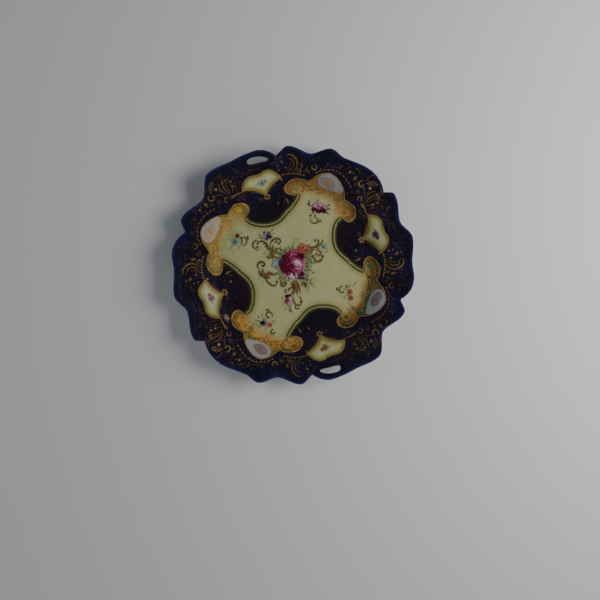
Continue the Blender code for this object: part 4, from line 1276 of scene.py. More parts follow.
    # scattered sprays that fill the ground between
    for pts, w in ((((88, 48), (92, 46), (95, 42), (96, 37)), 1.0), (((97, 45), (100, 41), (101, 36)), 0.8),
                   (((99, 25), (102, 22), (103.5, 18)), 1.1), (((91, 55), (94.5, 58), (96, 62)), 1.0),
                   (((85, 80), (88, 76), (92, 74)), 1.0), (((60, 98), (64, 95), (66, 91)), 0.9),
                   (((9, 94), (12, 97), (15, 98)), 0.9), (((4, 92), (2, 96), (-1, 98)), 0.9)):
        gild(P, pts, k, w, ROSE_GOLD * 0.8, col2=GOLD_DARK)
    P.dim((0.95, 0.74, 0.92, 0.58)[k])          # painted shade: each quarter of the rim gilding is darkened by its own amount, standing in for how brightly it catches the light
    P.build("rim_gilding_" + ("ne", "nw", "sw", "se")[k], M_GOLD, slot="gilding")

# ------------------------------------------------------------------ bouquets
def flower(P, x, y, r, petals, root, tip, eye, turn=0.0, h=0.26, base=0.07, wide=1.05):
    """A small open flower."""
    for j in range(petals):
        petal(P, x, y, turn + 360.0 * j / petals, r, r * wide, root, tip, h=h, base=base + 0.02 * (j % 2))
    dot(P, x, y, r * 0.24, eye, h=h + 0.14, base=base)


def sprig(P, x, y, ang, length, n, dark, light, w=1.5, bend=0.25, seed=0):
    """A stem with leaves along both sides."""
    rnd = random.Random(seed)
    ca, sa = math.cos(math.radians(ang)), math.sin(math.radians(ang))
    pts = [(x + t * length * ca - bend * length * math.sin(math.pi * t * 0.8) * sa,
            y + t * length * sa + bend * length * math.sin(math.pi * t * 0.8) * ca) for t in (0, 0.33, 0.66, 1.0)]
    c = curve(pts, 0.6)
    stroke(P, pts, 0.45, dark, h=0.12, base=0.05, kind="tail")
    for j in range(n):
        i = int((j + 0.6) / n * (len(c) - 1))
        side = 1 if j % 2 else -1
        leaf(P, c[i][0], c[i][1], ang + side * rnd.uniform(35, 65), length * rnd.uniform(0.24, 0.36), w,
             dark, light, bend=0.1 * side, h=0.12)
    leaf(P, c[-1][0], c[-1][1], ang + bend * 60, length * 0.25, w, dark, light)


SC_D, SC_L = rgb(56, 44, 22), rgb(118, 96, 52)


def curl(P, pts, w, h=0.26, dark=SC_D, light=SC_L, bead=True, kind="taper"):
    """A gilt scroll on the cream: full in the belly, with a dark under-stroke and a bead. The under-stroke is a dark
    outline and also a painted shadow under the raised gilding.
    """
    # painted shadow as well as dark outline: a soft dark stroke laid under the gilding
    WASH.brush(pts, w * 2.6, dark * 0.9, alpha=0.55, soft=0.6)
    w = w * 1.38
    stroke(P, pts, w, light, h=h, base=0.05, kind=kind, col2=mix(light, dark, 0.35)[0], edge=dark)
    if bead:
        dot(P, pts[-1][0], pts[-1][1], w * 0.60, dark, h=h + 0.1, base=0.05, mid=light * 0.8)


def dabs(cx, cy, rx, ry, n, seed, dark, light, size=(1.4, 2.8), alpha=(0.35, 0.8), radial=True, hole=0.0):
    """Feathered leaf dabs scattered about a point."""
    rnd = random.Random(seed)
    for _ in range(n):
        a = rnd.uniform(0, 2 * math.pi)
        r = hole + (1 - hole) * math.sqrt(rnd.random())
        x, y = cx + rx * r * math.cos(a), cy + ry * r * math.sin(a)
        ang = math.degrees(a) + rnd.gauss(0, 30) if radial else rnd.uniform(0, 180)
        ln = rnd.uniform(*size)
        WASH.dab(x, y, ln, ln * rnd.uniform(0.30, 0.45), ang, mix(dark, light, rnd.random())[0],
                 alpha=rnd.uniform(*alpha) * 0.85, soft=0.85)


def pad(at, field, ground, h=0.5, step=0.5, inner=0.5, reach=14.0, n=56):
    """A thin raised enamel that carries a soft painting, lobed as its petals are."""
    R = Paint()
    outline = field.outline(at[0], at[1], reach, n)
    fill_panel(R, outline, step, lambda xy: field.paint(xy, np.tile(ground, (len(xy), 1))), inner_step=inner,
               height=lambda xy, d: 0.08 + h * np.clip(d / 1.6, 0, 1) ** 0.7 + field.relief(xy))
    return R


def bouquet():
    S, F = Paint(), Paint()
    rnd = random.Random(77)
    G1, G2, G3 = rgb(48, 64, 38), rgb(92, 112, 62), rgb(130, 148, 88)
    # pale washes of green under everything
    for x, y, a, b, t in ((-27, 10, 9, 5, 10), (-21, 15, 7, 6, 60), (4, 24, 7, 6, 80), (-5, 17, 8, 4, 20), (15, 8, 8, 8, 0),
                          (15, -8, 8, 9, 30), (12, -20, 6, 8, 60), (-12, -12, 9, 5, 20), (-33, -10, 6, 9, 0), (-34, 3, 7, 6, 0),
                          (25, -15, 8, 3, 10), (-30, 31, 8, 6, 30), (-35, 19, 8, 5, 0), (30, 21, 8, 6, 0), (-8, -38, 7, 8, 90),
                          (-2, -29, 7, 8, 90), (24, 10, 7, 5, 0), (5, -38, 6, 5, 0), (-20, -16, 8, 5, 0)):
        WASH.dab(x, y, a, b, t, rgb(138, 152, 86), alpha=0.40, soft=1.0)
    # feathered foliage
    dabs(-1, 2, 19, 19, 330, 5, G1, G3, hole=0.58, size=(1.3, 3.0))
    dabs(-1, 3, 15.5, 15, 150, 6, G1 * 0.7, G2, hole=0.72, size=(1.2, 2.4), alpha=(0.5, 0.95))
    dabs(8, -12, 8, 9, 90, 7, G1 * 0.7, G2, size=(1.2, 2.4))
    dabs(14, -12, 9, 10, 60, 8, G2, G3, size=(1.2, 2.6))
    dabs(15, 8, 7, 9, 70, 9, G1, G3)
    dabs(-22, 13, 8, 6, 60, 10, G1, G3)
    dabs(-29, 30, 8, 7, 60, 11, G1, G3, size=(1.0, 2.2))
    dabs(28, 18, 8, 5, 44, 12, G1, G3, size=(1.0, 2.2))
    dabs(-6, -36, 7, 9, 80, 13, G1, G3, size=(1.0, 2.4))
    dabs(-30, -10, 7, 7, 50, 14, G2, G3, size=(1.0, 2.2))
    dabs(4, -24, 5, 8, 44, 15, G1, G3, size=(1.0, 2.2))
    dabs(2, 24, 6, 5, 30, 16, G2, G3, size=(1.0, 2.2))
    for x, y, a, l, n in ((13, 8, 10, 8, 5), (14, 3, -10, 8, 5), (12, -5, -25, 9, 6), (11, -12, -50, 9, 6),
                          (9, -18, -60, 9, 5), (-14, -5, 200, 8, 5), (-18, 8, 160, 8, 5), (-14, 12, 120, 8, 5),
                          (0, 15, 80, 8, 5), (13, 13, 60, 8, 4), (-8, -12, 240, 8, 5), (-29, 27, 130, 6, 5),
                          (-23, 31, 60, 6, 4), (30, 12, 20, 5, 3), (-4, -40, 250, 6, 4), (-33, 19, 200, 6, 4),
                          (-10, 14, 110, 6, 5), (6, 15, 70, 6, 4), (-12, -9, 215, 6, 5), (14, -17, -40, 8, 5)):
        sprig(F, x, y, a, l, n, G1, G2, w=1.0, seed=int(a * 7 + x))
    # gilt scrolls, upper left: a leafy stem that divides
    for pts, w in ((((-16.5, 8.2), (-19.6, 9.6), (-22.2, 13), (-23.6, 17.6), (-25.8, 21)), 2.0),
                   (((-18.8, 8.4), (-22.6, 9.4), (-24.6, 12.6)), 1.3),
                   (((-18.6, 12.2), (-20.4, 15), (-21.4, 18.6), (-20.4, 22)), 1.5),
                   (((-24.2, 15.6), (-26.6, 18.4), (-29.4, 20.2)), 1.3)):
        stroke(S, pts, w * 1.5, rgb(120, 92, 54), h=0.24, base=0.05, kind="leaf", col2=rgb(132, 106, 64), edge=SC_D)
        # painted shadow as well as dark outline: a soft dark stroke under the gilt stem
        WASH.brush(pts, w * 2.6, SC_D, alpha=0.6, soft=0.7)
    curl(S, ((-23.6, 19.0), (-23.2, 23), (-20.6, 26.4), (-16.8, 27.8), (-13.6, 26.4), (-13.0, 23.6), (-15.0, 22.6)), 1.5)
    curl(S, ((-25.2, 20.6), (-27.8, 23), (-31, 24.8), (-34.6, 24.4), (-36.2, 22.4)), 1.4)
    curl(S, ((-34.6, 23.6), (-37.6, 25.6), (-40.6, 23.6), (-41, 20), (-38.4, 17.6), (-36.2, 19.2)), 1.3)
    curl(S, ((-10.6, 11.6), (-14, 11.6), (-17, 13.4), (-17.2, 16.4), (-14.8, 18.0), (-12.8, 16.8)), 1.1)
    curl(S, ((-19.6, 24.6), (-17.4, 23.8), (-16.8, 25.4)), 0.9)
    curl(S, ((-31.4, 21.8), (-28.6, 22.4), (-26.6, 20.0)), 1.1)
    curl(S, ((-27.6, 9.2), (-24.6, 8.2), (-21.5, 9.0)), 1.0, bead=False)
    # gilt scrolls, left
    curl(S, ((-34.2, -3.4), (-36.4, -0.6), (-35.6, 2.6), (-32.6, 4.2), (-29.6, 3.0), (-29.4, 0.4), (-31.2, 0.2)), 1.7)
    for pts, w, c in ((((-35, -2.6), (-34.4, -6.6), (-31.4, -9.8), (-27.4, -10.2), (-24, -8.0), (-20.6, -5.8)), 2.2, rgb(112, 74, 48)),
                      (((-33.2, -4.4), (-30.8, -7.2), (-27.4, -7.6), (-24.6, -5.8)), 1.5, rgb(126, 86, 54)),
                      (((-30.6, -10.8), (-27.0, -12.4), (-23.6, -11.0)), 1.3, rgb(104, 66, 42)),
                      (((-26.0, -4.6), (-22.6, -8.2), (-18.6, -8.4), (-15.4, -6.6)), 1.5, rgb(112, 80, 46))):
        stroke(S, pts, w * 1.3, c, h=0.26, base=0.05, kind="taper", col2=c * 1.3, edge=SC_D)
        # painted shadow as well as dark outline: a soft dark stroke under the gilt stem
        WASH.brush(pts, w * 2.4, SC_D, alpha=0.55, soft=0.7)
    curl(S, ((-29.0, -9.8), (-28.2, -13.4), (-24.6, -17.8), (-20.6, -20.0), (-17.4, -18.6), (-16.8, -15.8)), 1.4)
    curl(S, ((-14.6, -13.4), (-12.6, -15.2), (-12.8, -18.6), (-10.6, -20.6), (-8.0, -19.4), (-7.8, -17.2)), 1.4)
    curl(S, ((-32.8, -2.6), (-31.0, -3.8), (-30.6, -6.0)), 1.1, bead=False)
    dot(S, -10.4, -17.0, 1.0, rgb(64, 66, 30), h=0.3)
    # gilt scrolls, right
    for pts, w, c in ((((10.2, 12.0), (13.4, 14.6), (17.6, 15.8), (21.6, 16.2)), 2.0, rgb(140, 92, 52)),
                      (((14.6, 17.4), (18.6, 19.0), (22.8, 18.6), (26.6, 17.6)), 1.5, rgb(116, 84, 48)),
                      (((12.6, 11.6), (16.4, 12.6), (19.8, 15.0)), 1.3, rgb(132, 96, 52))):
        stroke(S, pts, w * 1.3, c, h=0.26, base=0.05, kind="taper", col2=c * 1.25, edge=SC_D)
        # painted shadow as well as dark outline: a soft dark stroke under the gilt stem
        WASH.brush(pts, w * 2.4, SC_D, alpha=0.5, soft=0.7)
    curl(S, ((17.0, 16.8), (21.6, 18.8), (24.2, 21.6), (25.6, 24.6), (24.0, 26.6), (21.8, 25.2)), 1.2)
    curl(S, ((22.0, 19.2), (26.0, 20.8), (28.6, 23.4), (29.6, 26.0)), 1.1)
    curl(S, ((21, 16.4), (24.6, 16.0), (27.4, 14.2), (27.2, 11.4), (24.6, 10.4), (23.4, 12.4)), 1.4, dark=rgb(92, 60, 34), light=rgb(146, 104, 58))
    curl(S, ((21.4, 8.8), (22.0, 5.6), (25.0, 4.4), (28.4, 6.4), (29.6, 9.8)), 1.7)
    curl(S, ((17.6, 8.4), (19.2, 9.6), (20.4, 8.0)), 0.9)
    # gilt trunk and scrolls below
    for pts, w, c in ((((-0.4, -14.5), (1.6, -19.5), (3.2, -24.5), (4.0, -30.0)), 3.0, rgb(122, 82, 48)),
                      (((-2.6, -16.0), (-1.0, -20.0), (0.2, -24.6), (0.0, -29.4)), 2.2, rgb(104, 70, 42)),
                      (((1.8, -14.6), (4.6, -19.0), (6.2, -24.0), (7.0, -29.0)), 1.7, rgb(100, 66, 38)),
                      (((-1.4, -21.0), (-4.4, -23.2), (-6.0, -26.4)), 1.6, rgb(96, 62, 38)),
                      (((2.0, -22.0), (-1.0, -26.0), (-2.2, -30.6)), 1.3, rgb(140, 104, 60))):
        stroke(S, pts, w * 1.15, c, h=0.28, base=0.05, kind="leaf", col2=c * 1.25, edge=SC_D)
        # painted shadow as well as dark outline: a soft dark stroke under the gilt trunk
        WASH.brush(pts, w * 2.0, SC_D, alpha=0.55, soft=0.7)
    curl(S, ((-0.6, -31), (0.0, -35), (1.8, -38.6), (5.0, -40.2), (7.8, -38.6), (7.4, -36.4)), 1.4)
    curl(S, ((1.2, -40.0), (2.6, -43.2), (5.2, -43.2)), 1.1)
    curl(S, ((5.6, -30.4), (7.2, -33.0), (8.6, -36.0)), 1.1)
    curl(S, ((-6.6, -23.0), (-8.6, -24.6), (-8.0, -26.8)), 1.0)
    curl(S, ((-3.6, -41.6), (-3.0, -45), (-0.8, -47.4)), 1.0, bead=False)
    curl(S, ((8.8, -16.6), (11.4, -18.6), (12.2, -21.6)), 0.9, bead=False)
    # russet blooms, upper right
    O = Field()
    for x, y, a, b, t, c, m in ((8, 15.6, 4.6, 3.4, 30, rgb(132, 58, 36), rgb(168, 88, 58)), (7.4, 20.4, 3.4, 2.6, 70, rgb(140, 66, 42), rgb(182, 116, 84)),
                                (11.6, 18.2, 3.8, 2.8, 10, rgb(150, 70, 44), rgb(190, 122, 88)), (14.8, 20.2, 2.6, 1.8, -20, rgb(140, 70, 46), rgb(176, 112, 80)),
                                (5.4, 17.2, 2.4, 3.2, 0, rgb(120, 48, 34), rgb(160, 82, 56)), (10.2, 21.8, 2.2, 1.6, 0, rgb(150, 84, 60), rgb(190, 132, 100)),
                                (9.4, 18.4, 1.2, 1.0, 0, rgb(70, 26, 18), rgb(92, 36, 26)), (12.8, 16.0, 2.4, 1.2, 20, rgb(96, 40, 26), rgb(130, 62, 42))):
        O.dab(x, y, a, b, t, c, soft=0.45, mid=m, rise=0.10)
    R = pad((9.4, 18.0), O, rgb(124, 58, 38), h=0.14)
    R.dim((0.86, 0.92, 0.92))
    R.build("russet_blooms", M_ENAMEL, slot="flower_enamel")
    # blue bloom, left
    B = Field()
    for x, y, a, b, t, c, m in ((-18.4, 2.8, 4.2, 4.2, 10, rgb(112, 126, 136), rgb(146, 156, 158)), (-15.6, 6.2, 3.4, 2.6, 30, rgb(70, 82, 110), rgb(124, 136, 148)),
                                (-15.8, -1.8, 3.2, 2.6, -30, rgb(84, 98, 118), rgb(132, 144, 150)), (-20.6, 0.6, 2.4, 2.6, 0, rgb(116, 130, 132), rgb(146, 154, 146)),
                                (-13.2, 3.2, 2.8, 3.2, 0, rgb(24, 24, 56), rgb(40, 44, 88)), (-13.0, 6.4, 1.8, 1.6, 0, rgb(28, 26, 58), rgb(52, 56, 100)),
                                (-17.6, 4.4, 1.6, 1.2, 40, rgb(126, 140, 148), rgb(160, 168, 166))):
        B.dab(x, y, a, b, t, c, soft=0.5, mid=m, rise=0.08)
    R = pad((-16.6, 2.4), B, rgb(96, 108, 124), h=0.12)
    R.dim((1.0, 0.98, 0.88))
    R.build("blue_bloom", M_ENAMEL, slot="flower_enamel")
    for x, y, a, b, t, c in ((30.4, 19.4, 3.2, 2.8, 0, rgb(112, 122, 132)), (32.4, 18.0, 2.2, 1.6, -20, rgb(92, 104, 124)),
                             (28.2, 21.0, 2.0, 1.6, 40, rgb(128, 138, 142)), (30.2, 19.2, 1.3, 1.1, 0, rgb(36, 38, 58))):
        WASH.dab(x, y, a, b, t, c, alpha=0.9, soft=0.5)
    flower(F, 30.4, 19.4, 2.5, 5, rgb(66, 70, 92), rgb(134, 146, 158), rgb(34, 34, 50), h=0.16)
    # purple pansy, upper left
    WASH.dab(-26.6, 31, 6.0, 5.4, 30, rgb(120, 112, 100), alpha=0.55, soft=0.8)
    for a, c0, c1 in ((60, PLUM, LILAC * 0.6), (130, LILAC * 0.5, rgb(138, 124, 136)), (200, LILAC * 0.5, rgb(150, 136, 144)),
                      (270, PLUM, LILAC * 0.6), (340, PLUM * 0.8, PLUM * 1.6)):
        petal(F, -26.6, 30.4, a, 5.0, 4.1, c0, c1, h=0.20, base=0.08)
    dot(F, -25.6, 29.6, 1.9, rgb(30, 8, 28), h=0.34)
    dot(F, -29.6, 33.8, 1.2, rgb(34, 20, 34), h=0.3)
    dot(F, -28.4, 27.4, 1.0, rgb(40, 20, 38), h=0.3)
    # the bud below
    D = Field()
    for x, y, a, b, t, c, m in ((-3.4, -33.6, 3.0, 3.6, -20, rgb(150, 112, 122), rgb(184, 160, 166)), (-6.4, -34.6, 2.8, 3.0, 0, rgb(98, 22, 52), rgb(142, 50, 84)),
                                (-4.6, -38.4, 2.4, 3.2, 20, rgb(134, 84, 100), rgb(172, 140, 150)), (-8.0, -36.6, 1.8, 2.2, 0, rgb(104, 40, 62), rgb(140, 84, 100)),
                                (-6.4, -30.4, 3.0, 1.9, 10, rgb(34, 8, 16), rgb(66, 18, 30)), (-3.4, -29.8, 1.8, 1.4, 0, rgb(48, 14, 20), rgb(84, 34, 40)),
                                (-6.0, -35.6, 1.2, 1.2, 0, rgb(84, 12, 40), rgb(110, 20, 56))):
        D.dab(x, y, a, b, t, c, soft=0.4, mid=m, rise=0.10)
    R = pad((-5.4, -34), D, rgb(112, 46, 66), h=0.14)
    R.build("bud", M_ENAMEL, slot="flower_enamel")
    # spots of colour among the scrolls
    for x, y, c in ((-37.5, 27.5, RUST), (-20, 33, LEAF_D), (20.8, 27, LEAF_D), (24.6, -4.6, rgb(150, 130, 84)),
                    (13.6, 26, LEAF_M), (5.4, 27, LEAF_M), (18, -14, LEAF_D), (21, -12, LEAF_M), (-31, -18, LEAF_M)):
        dot(F, x, y, 0.7, c, h=0.16)
    S.build("bouquet_scrolls", M_SCROLL, slot="gilding")
    F.build("bouquet_flowers", M_ENAMEL, slot="flower_enamel")

    dabs(11.4, -16.5, 3.6, 6.4, 46, 611, rgb(28, 32, 20), rgb(70, 82, 46), size=(0.9, 1.8), alpha=(0.5, 0.9), radial=False)
    dabs(12.8, 2.0, 3.4, 9.0, 44, 612, rgb(64, 84, 50), rgb(116, 134, 82), size=(1.0, 2.0), alpha=(0.4, 0.8))
    dabs(-8.0, 14.2, 7.0, 3.0, 40, 613, rgb(44, 56, 34), rgb(104, 122, 74), size=(1.0, 2.0), alpha=(0.4, 0.85))
    dabs(-11.0, -9.6, 5.0, 4.0, 34, 614, rgb(50, 62, 34), rgb(104, 118, 68), size=(1.0, 2.0), alpha=(0.4, 0.8))
    # the rose itself and the pale bloom under it, one soft painting on a raised pad
    C0, C1, C2, M0, M1, P1, P2, WP = (rgb(40, 3, 13), rgb(74, 8, 28), rgb(104, 12, 42), rgb(132, 32, 68), rgb(156, 62, 98),
                                     rgb(172, 108, 132), rgb(186, 146, 158), rgb(204, 188, 190))
    Q = Field()
    Q.dab(-5.8, 2.2, 6.8, 9.8, 12, C1, mid=C2, soft=0.6)
    Q.dab(4.2, 2.8, 6.2, 8.2, 0, M0, mid=M1, soft=0.6)
    for pts, w, c, m in ((((-4.8, -6.2), (-4.2, -10.0), (-1.4, -13.2)), 4.0, P1, P2),           # pale bloom below
                         (((5.4, -5.6), (5.8, -9.6), (2.4, -13.0)), 3.6, M1, P1),
                         (((-2.2, -6.6), (-1.6, -10.2), (1.6, -12.4)), 4.2, P2, WP),
                         (((1.6, -6.2), (3.0, -9.0), (2.2, -11.6)), 3.2, P1, P2),
                         (((-6.8, -6.6), (-8.4, -9.2), (-5.6, -12.0)), 2.6, P1, rgb(180, 136, 158)),
                         (((-11.8, 4.6), (-13.4, 0.4), (-10.2, -5.2), (-5.6, -7.4)), 4.2, C1, C2),   # outer petals
                         (((-9.6, -6.4), (-5.4, -8.2), (-1.2, -5.6)), 3.0, C1, M0),
                         (((-12.0, 6.2), (-10.6, 9.6), (-6.2, 10.4)), 3.8, C0, C2),
                         (((-8.4, 8.8), (-6.2, 12.6), (-1.6, 14.6)), 3.8, C1, M0),
                         (((-3.8, 12.2), (1.4, 15.4), (6.6, 13.2)), 4.0, M0, M1),
                         (((4.6, 12.8), (9.2, 12.0), (10.4, 8.0)), 3.4, C1, C2),
                         (((10.0, 7.6), (11.4, 3.6), (9.0, 0.2)), 3.2, M1, P1),
                         (((10.2, 1.0), (9.4, -3.2), (5.4, -5.4)), 3.4, M0, P1),
                         (((6.4, -4.2), (2.6, -6.2), (-1.8, -4.8)), 3.2, M0, M1),
                         (((-9.4, 1.2), (-7.2, 5.8), (-3.4, 8.6)), 3.6, C1, C2),                 # turned petals
                         (((-4.8, 8.8), (-0.6, 12.0), (4.6, 11.2)), 3.6, M0, rgb(168, 78, 116)),
                         (((2.0, 9.8), (6.4, 10.6), (9.0, 7.6)), 3.8, C0, C1),
                         (((-8.4, -3.8), (-4.6, -3.0), (-1.6, 0.6)), 3.4, C1, C2),
                         (((-6.8, 1.6), (-3.8, 2.2), (-1.8, 5.4)), 3.2, C2, M0),
                         (((-3.2, -3.4), (0.6, -3.6), (3.6, -1.6)), 3.0, M0, M1),
                         (((-3.6, 5.6), (-0.4, 8.6), (3.4, 8.2)), 2.6, M0, M1),
                         (((1.4, -1.8), (5.4, -2.8), (8.4, -0.2)), 2.8, P1, P2),
                         (((8.6, 0.4), (9.2, 3.8), (6.8, 6.2)), 2.4, M1, P1),
                         (((-1.6, 1.8), (-0.6, 5.0), (2.2, 6.8)), 2.4, M0, P1)):
        Q.brush(pts, w, c, mid=m, soft=0.6, rise=0.07)
    for x, y, a, b, t, c, m in ((2.6, 4.6, 3.6, 2.2, 38, P2, WP), (5.6, 2.6, 4.4, 2.0, -22, P2, rgb(212, 200, 200)),
                                (4.6, 4.4, 3.0, 1.7, -18, WP, rgb(216, 208, 206)), (7.4, 0.6, 2.2, 1.3, 20, P2, WP),
                                (1.2, 1.8, 1.9, 1.2, -60, P1, P2)):
        Q.dab(x, y, a, b, t, c, mid=m, soft=0.8, rise=0.05)
    Q.dab(3.4, 1.0, 3.4, 1.9, -20, P1, mid=P2, soft=0.9)
    Q.dab(5.0, 3.6, 3.6, 2.0, -20, P2, mid=rgb(216, 206, 204), soft=0.9)
    Q.brush(((3.0, 6.6), (6.0, 5.8), (8.2, 3.6)), 0.9, M1, alpha=0.45, soft=0.9)
    Q.dab(4.2, 3.2, 2.6, 1.6, -15, P2, mid=rgb(214, 204, 204), soft=0.9)
    for x, y, a, b, t in ((-12.6, 1.4, 1.5, 3.0, 8), (-9.2, 8.8, 2.6, 1.6, 35), (-8.0, -5.6, 2.8, 1.3, -25), (-5.4, 4.2, 1.0, 2.8, -32),
                          (5.8, 9.0, 3.0, 1.4, -20), (-1.6, -5.0, 2.4, 0.8, -5), (-8.6, -1.2, 1.1, 2.8, 20), (-2.8, 0.4, 0.9, 2.6, -38),
                          (9.6, 9.4, 1.4, 1.6, 0), (-0.8, 9.6, 2.4, 0.7, 20), (0.2, -6.6, 2.0, 0.7, 8), (-3.4, -8.2, 0.7, 1.8, -10)):
        Q.dab(x, y, a, b, t, C0, alpha=0.7, soft=0.9)
    # dark plum flower
    for x, y, a, b, t, c, m in ((8.6, -14.4, 2.4, 1.8, -40, rgb(128, 92, 108), rgb(160, 132, 142)), (11.2, -10.2, 2.2, 1.8, 20, rgb(118, 84, 104), rgb(150, 122, 136)),
                                (7.2, -9.6, 3.2, 2.4, 10, rgb(30, 8, 20), rgb(56, 20, 38)), (8.8, -12.0, 2.4, 1.9, -30, rgb(32, 8, 22), rgb(62, 26, 44)),
                                (5.8, -12.6, 1.8, 1.5, 0, rgb(40, 12, 26), rgb(74, 32, 50)), (10.0, -8.2, 1.4, 1.2, 0, rgb(34, 10, 24), rgb(66, 26, 44)),
                                (7.8, -10.8, 0.8, 0.7, 0, rgb(150, 110, 124), rgb(176, 146, 150))):
        Q.dab(x, y, a, b, t, c, soft=0.4, mid=m, rise=0.12)
    R = pad((0.5, 1.0), Q, C1, h=0.22, step=0.5, inner=0.45, reach=22.0, n=90)
    R.build("rose", M_ENAMEL, replaces=("rose_enamel",), slot="flower_enamel")
    L = Paint()
    lf_rnd = random.Random(31)
    for a in (62, 96, 110, 124, 138, 152, 196, 212, 228, 246, 26, 8, 350, 334):
        ca, sa = math.cos(math.radians(a)), math.sin(math.radians(a))
        leaf(L, 0.2 + 12.0 * ca, 1.4 + 13.8 * sa, a + lf_rnd.uniform(-35, 35), lf_rnd.uniform(2.6, 4.4), lf_rnd.uniform(1.2, 1.9),
             rgb(30, 40, 22), mix(rgb(60, 76, 40), rgb(104, 122, 72), lf_rnd.random())[0], h=0.12)
    for x, y, r in ((9.4, -15.8, 1.2), (11.6, -17.8, 1.5), (12.8, -19.8, 1.0), (13.6, -14.0, 0.9)):
        dot(L, x, y, r, rgb(30, 8, 20), h=0.2, mid=rgb(60, 26, 40))
    L.build("rose_leaves", M_ENAMEL, slot="flower_enamel")


bouquet()


def corner_sprigs():
    S, F = Paint(), Paint()

    def T(pts, k):
        return turned(pts, k)

    def fl(k, x, y, r, n, root, tip, eye, turn=0.0, **kw):
        X, Y = turn1(x, y, k)
        flower(F, X, Y, r, n, root, tip, eye, turn=turn + 90 * k, **kw)

    def pt(k, x, y, a, l, w, c0, c1, **kw):
        X, Y = turn1(x, y, k)
        petal(F, X, Y, a + 90 * k, l, w, c0, c1, **kw)

    def lf(k, x, y, a, l, w, c0=LEAF_D, c1=LEAF_L, bend=0.1):
        X, Y = turn1(x, y, k)
        leaf(F, X, Y, a + 90 * k, l, w, c0, c1, bend=bend, h=0.14)

    def dt(k, x, y, r, c, **kw):
        X, Y = turn1(x, y, k)
        dot(F, X, Y, r, c, **kw)

    # soft leaf dabs under every spray
    for k_, x, y, rx, ry, n, d_, l_ in ((0, 25, 58.5, 13, 6.5, 90, rgb(58, 62, 40), rgb(126, 132, 84)), (1, 24, 58.5, 12, 6, 80, rgb(70, 88, 52), rgb(134, 146, 92)),
                                        (2, 29, 57, 10, 6, 70, rgb(56, 62, 36), rgb(122, 128, 74)), (3, 26, 57, 12, 7, 80, rgb(72, 78, 40), rgb(128, 130, 74)),
                                        (0, 22, 46.5, 7, 4, 24, rgb(96, 98, 58), rgb(140, 140, 90)), (1, 25, 50, 7, 4, 24, rgb(96, 98, 58), rgb(140, 140, 90)),
                                        (2, 24.5, 49.5, 6, 4, 24, rgb(96, 98, 58), rgb(140, 140, 90)), (3, 24.5, 49, 6, 5, 30, rgb(80, 86, 44), rgb(132, 134, 80))):
        X, Y = turn1(x, y, k_)
        dabs(X, Y, rx if k_ % 2 == 0 else ry, ry if k_ % 2 == 0 else rx, n, 60 + k_ + int(x), d_, l_, size=(0.9, 2.0), alpha=(0.3, 0.7))
    # upper right: crimson rose
    k = 0
    for x, y, a, l in ((19, 60, 150, 6.5), (17, 63, 110, 5.0), (33, 57, 0, 6.0), (32, 54, -30, 5.5), (24, 64, 60, 4.5),
                       (21, 55, 215, 5.0), (34, 60, 30, 4.5), (22, 53, 250, 4.0)):
        lf(k, x, y, a, l, 1.9, rgb(52, 58, 36), rgb(110, 118, 70))
    Q = Field()
    for x, y, a, b, t, c, m in ((21.6, 61.4, 4.0, 2.6, 30, rgb(132, 84, 108), rgb(172, 144, 158)), (27.0, 61.6, 3.4, 2.6, 80, rgb(140, 92, 116), rgb(180, 152, 164)),
                                (31.4, 59.6, 3.4, 2.2, -20, rgb(126, 76, 100), rgb(166, 128, 146)), (25.4, 58.6, 5.0, 2.8, 0, rgb(112, 26, 70), rgb(142, 54, 102)),
                                (20.6, 57.0, 3.2, 2.6, 10, rgb(52, 6, 26), rgb(84, 12, 42)), (25.6, 55.2, 3.8, 2.6, 0, rgb(48, 4, 22), rgb(88, 14, 44)),
                                (30.4, 55.6, 3.6, 2.6, -10, rgb(34, 4, 18), rgb(66, 10, 34)), (25.6, 58.2, 1.6, 1.1, 0, rgb(150, 74, 118), rgb(170, 110, 142)),
                                (23.0, 59.6, 1.8, 0.9, 30, rgb(150, 110, 130), rgb(188, 166, 174)), (28.6, 58.4, 1.8, 1.2, -10, rgb(84, 14, 48), rgb(120, 34, 78))):
        Q.dab(x, y, a, b, t, c, soft=0.45, mid=m, rise=0.10)
    R = pad((25.6, 58.0), Q, rgb(70, 14, 40), h=0.14)
    R.build("corner_rose", M_ENAMEL, slot="flower_enamel")
    dt(k, 15, 62.5, 1.3, rgb(60, 60, 34), h=0.3)
    dt(k, 31.4, 54.4, 1.3, CRIMSON_D, h=0.36)
    for pts in (((17.5, 49), (16.8, 46), (18.6, 43.6), (21.6, 43), (24.4, 44.6), (24.8, 47.4), (22.4, 48.8)),
                ((25, 45.4), (26.8, 44.6), (27.6, 46)), ((15.8, 51.8), (16.8, 50.4), (18.2, 50.8))):
        curl(S, T(pts, k), 1.0)
    stroke(S, T(((18.4, 47.6), (19.4, 45), (22, 44.4), (23.6, 46.4)), k), 1.3, rgb(170, 152, 80), h=0.14, base=0.05)
    # upper left: blue bloom and a red one
    k = 1
    fl(k, 24.4, 58.8, 4.2, 5, TEAL * 0.7, rgb(128, 148, 142), rgb(30, 52, 58))
    fl(k, 30.4, 56.4, 2.7, 5, rgb(70, 34, 24), rgb(120, 72, 52), rgb(50, 18, 14))
    for x, y, a, l in ((21, 61, 130, 5), (17, 63, 100, 4.5), (15, 61, 170, 3.5), (20, 56, 220, 4), (27, 62, 70, 4), (30, 60, 50, 4),
                       (33, 58, 10, 4), (32, 53, -40, 4), (23, 54, 250, 3.5)):
        lf(k, x, y, a, l, 1.5, rgb(84, 102, 60), rgb(156, 170, 108))
    for pts in (((20.6, 51.4), (21.4, 48.6), (24.6, 47.2), (28.0, 48.2), (29, 51), (27.4, 52.4)),
                ((21.4, 52.4), (25, 51.8), (28.8, 52.6)), ((26, 47), (28, 45.6), (29.4, 46.4))):
        curl(S, T(pts, k), 1.1)
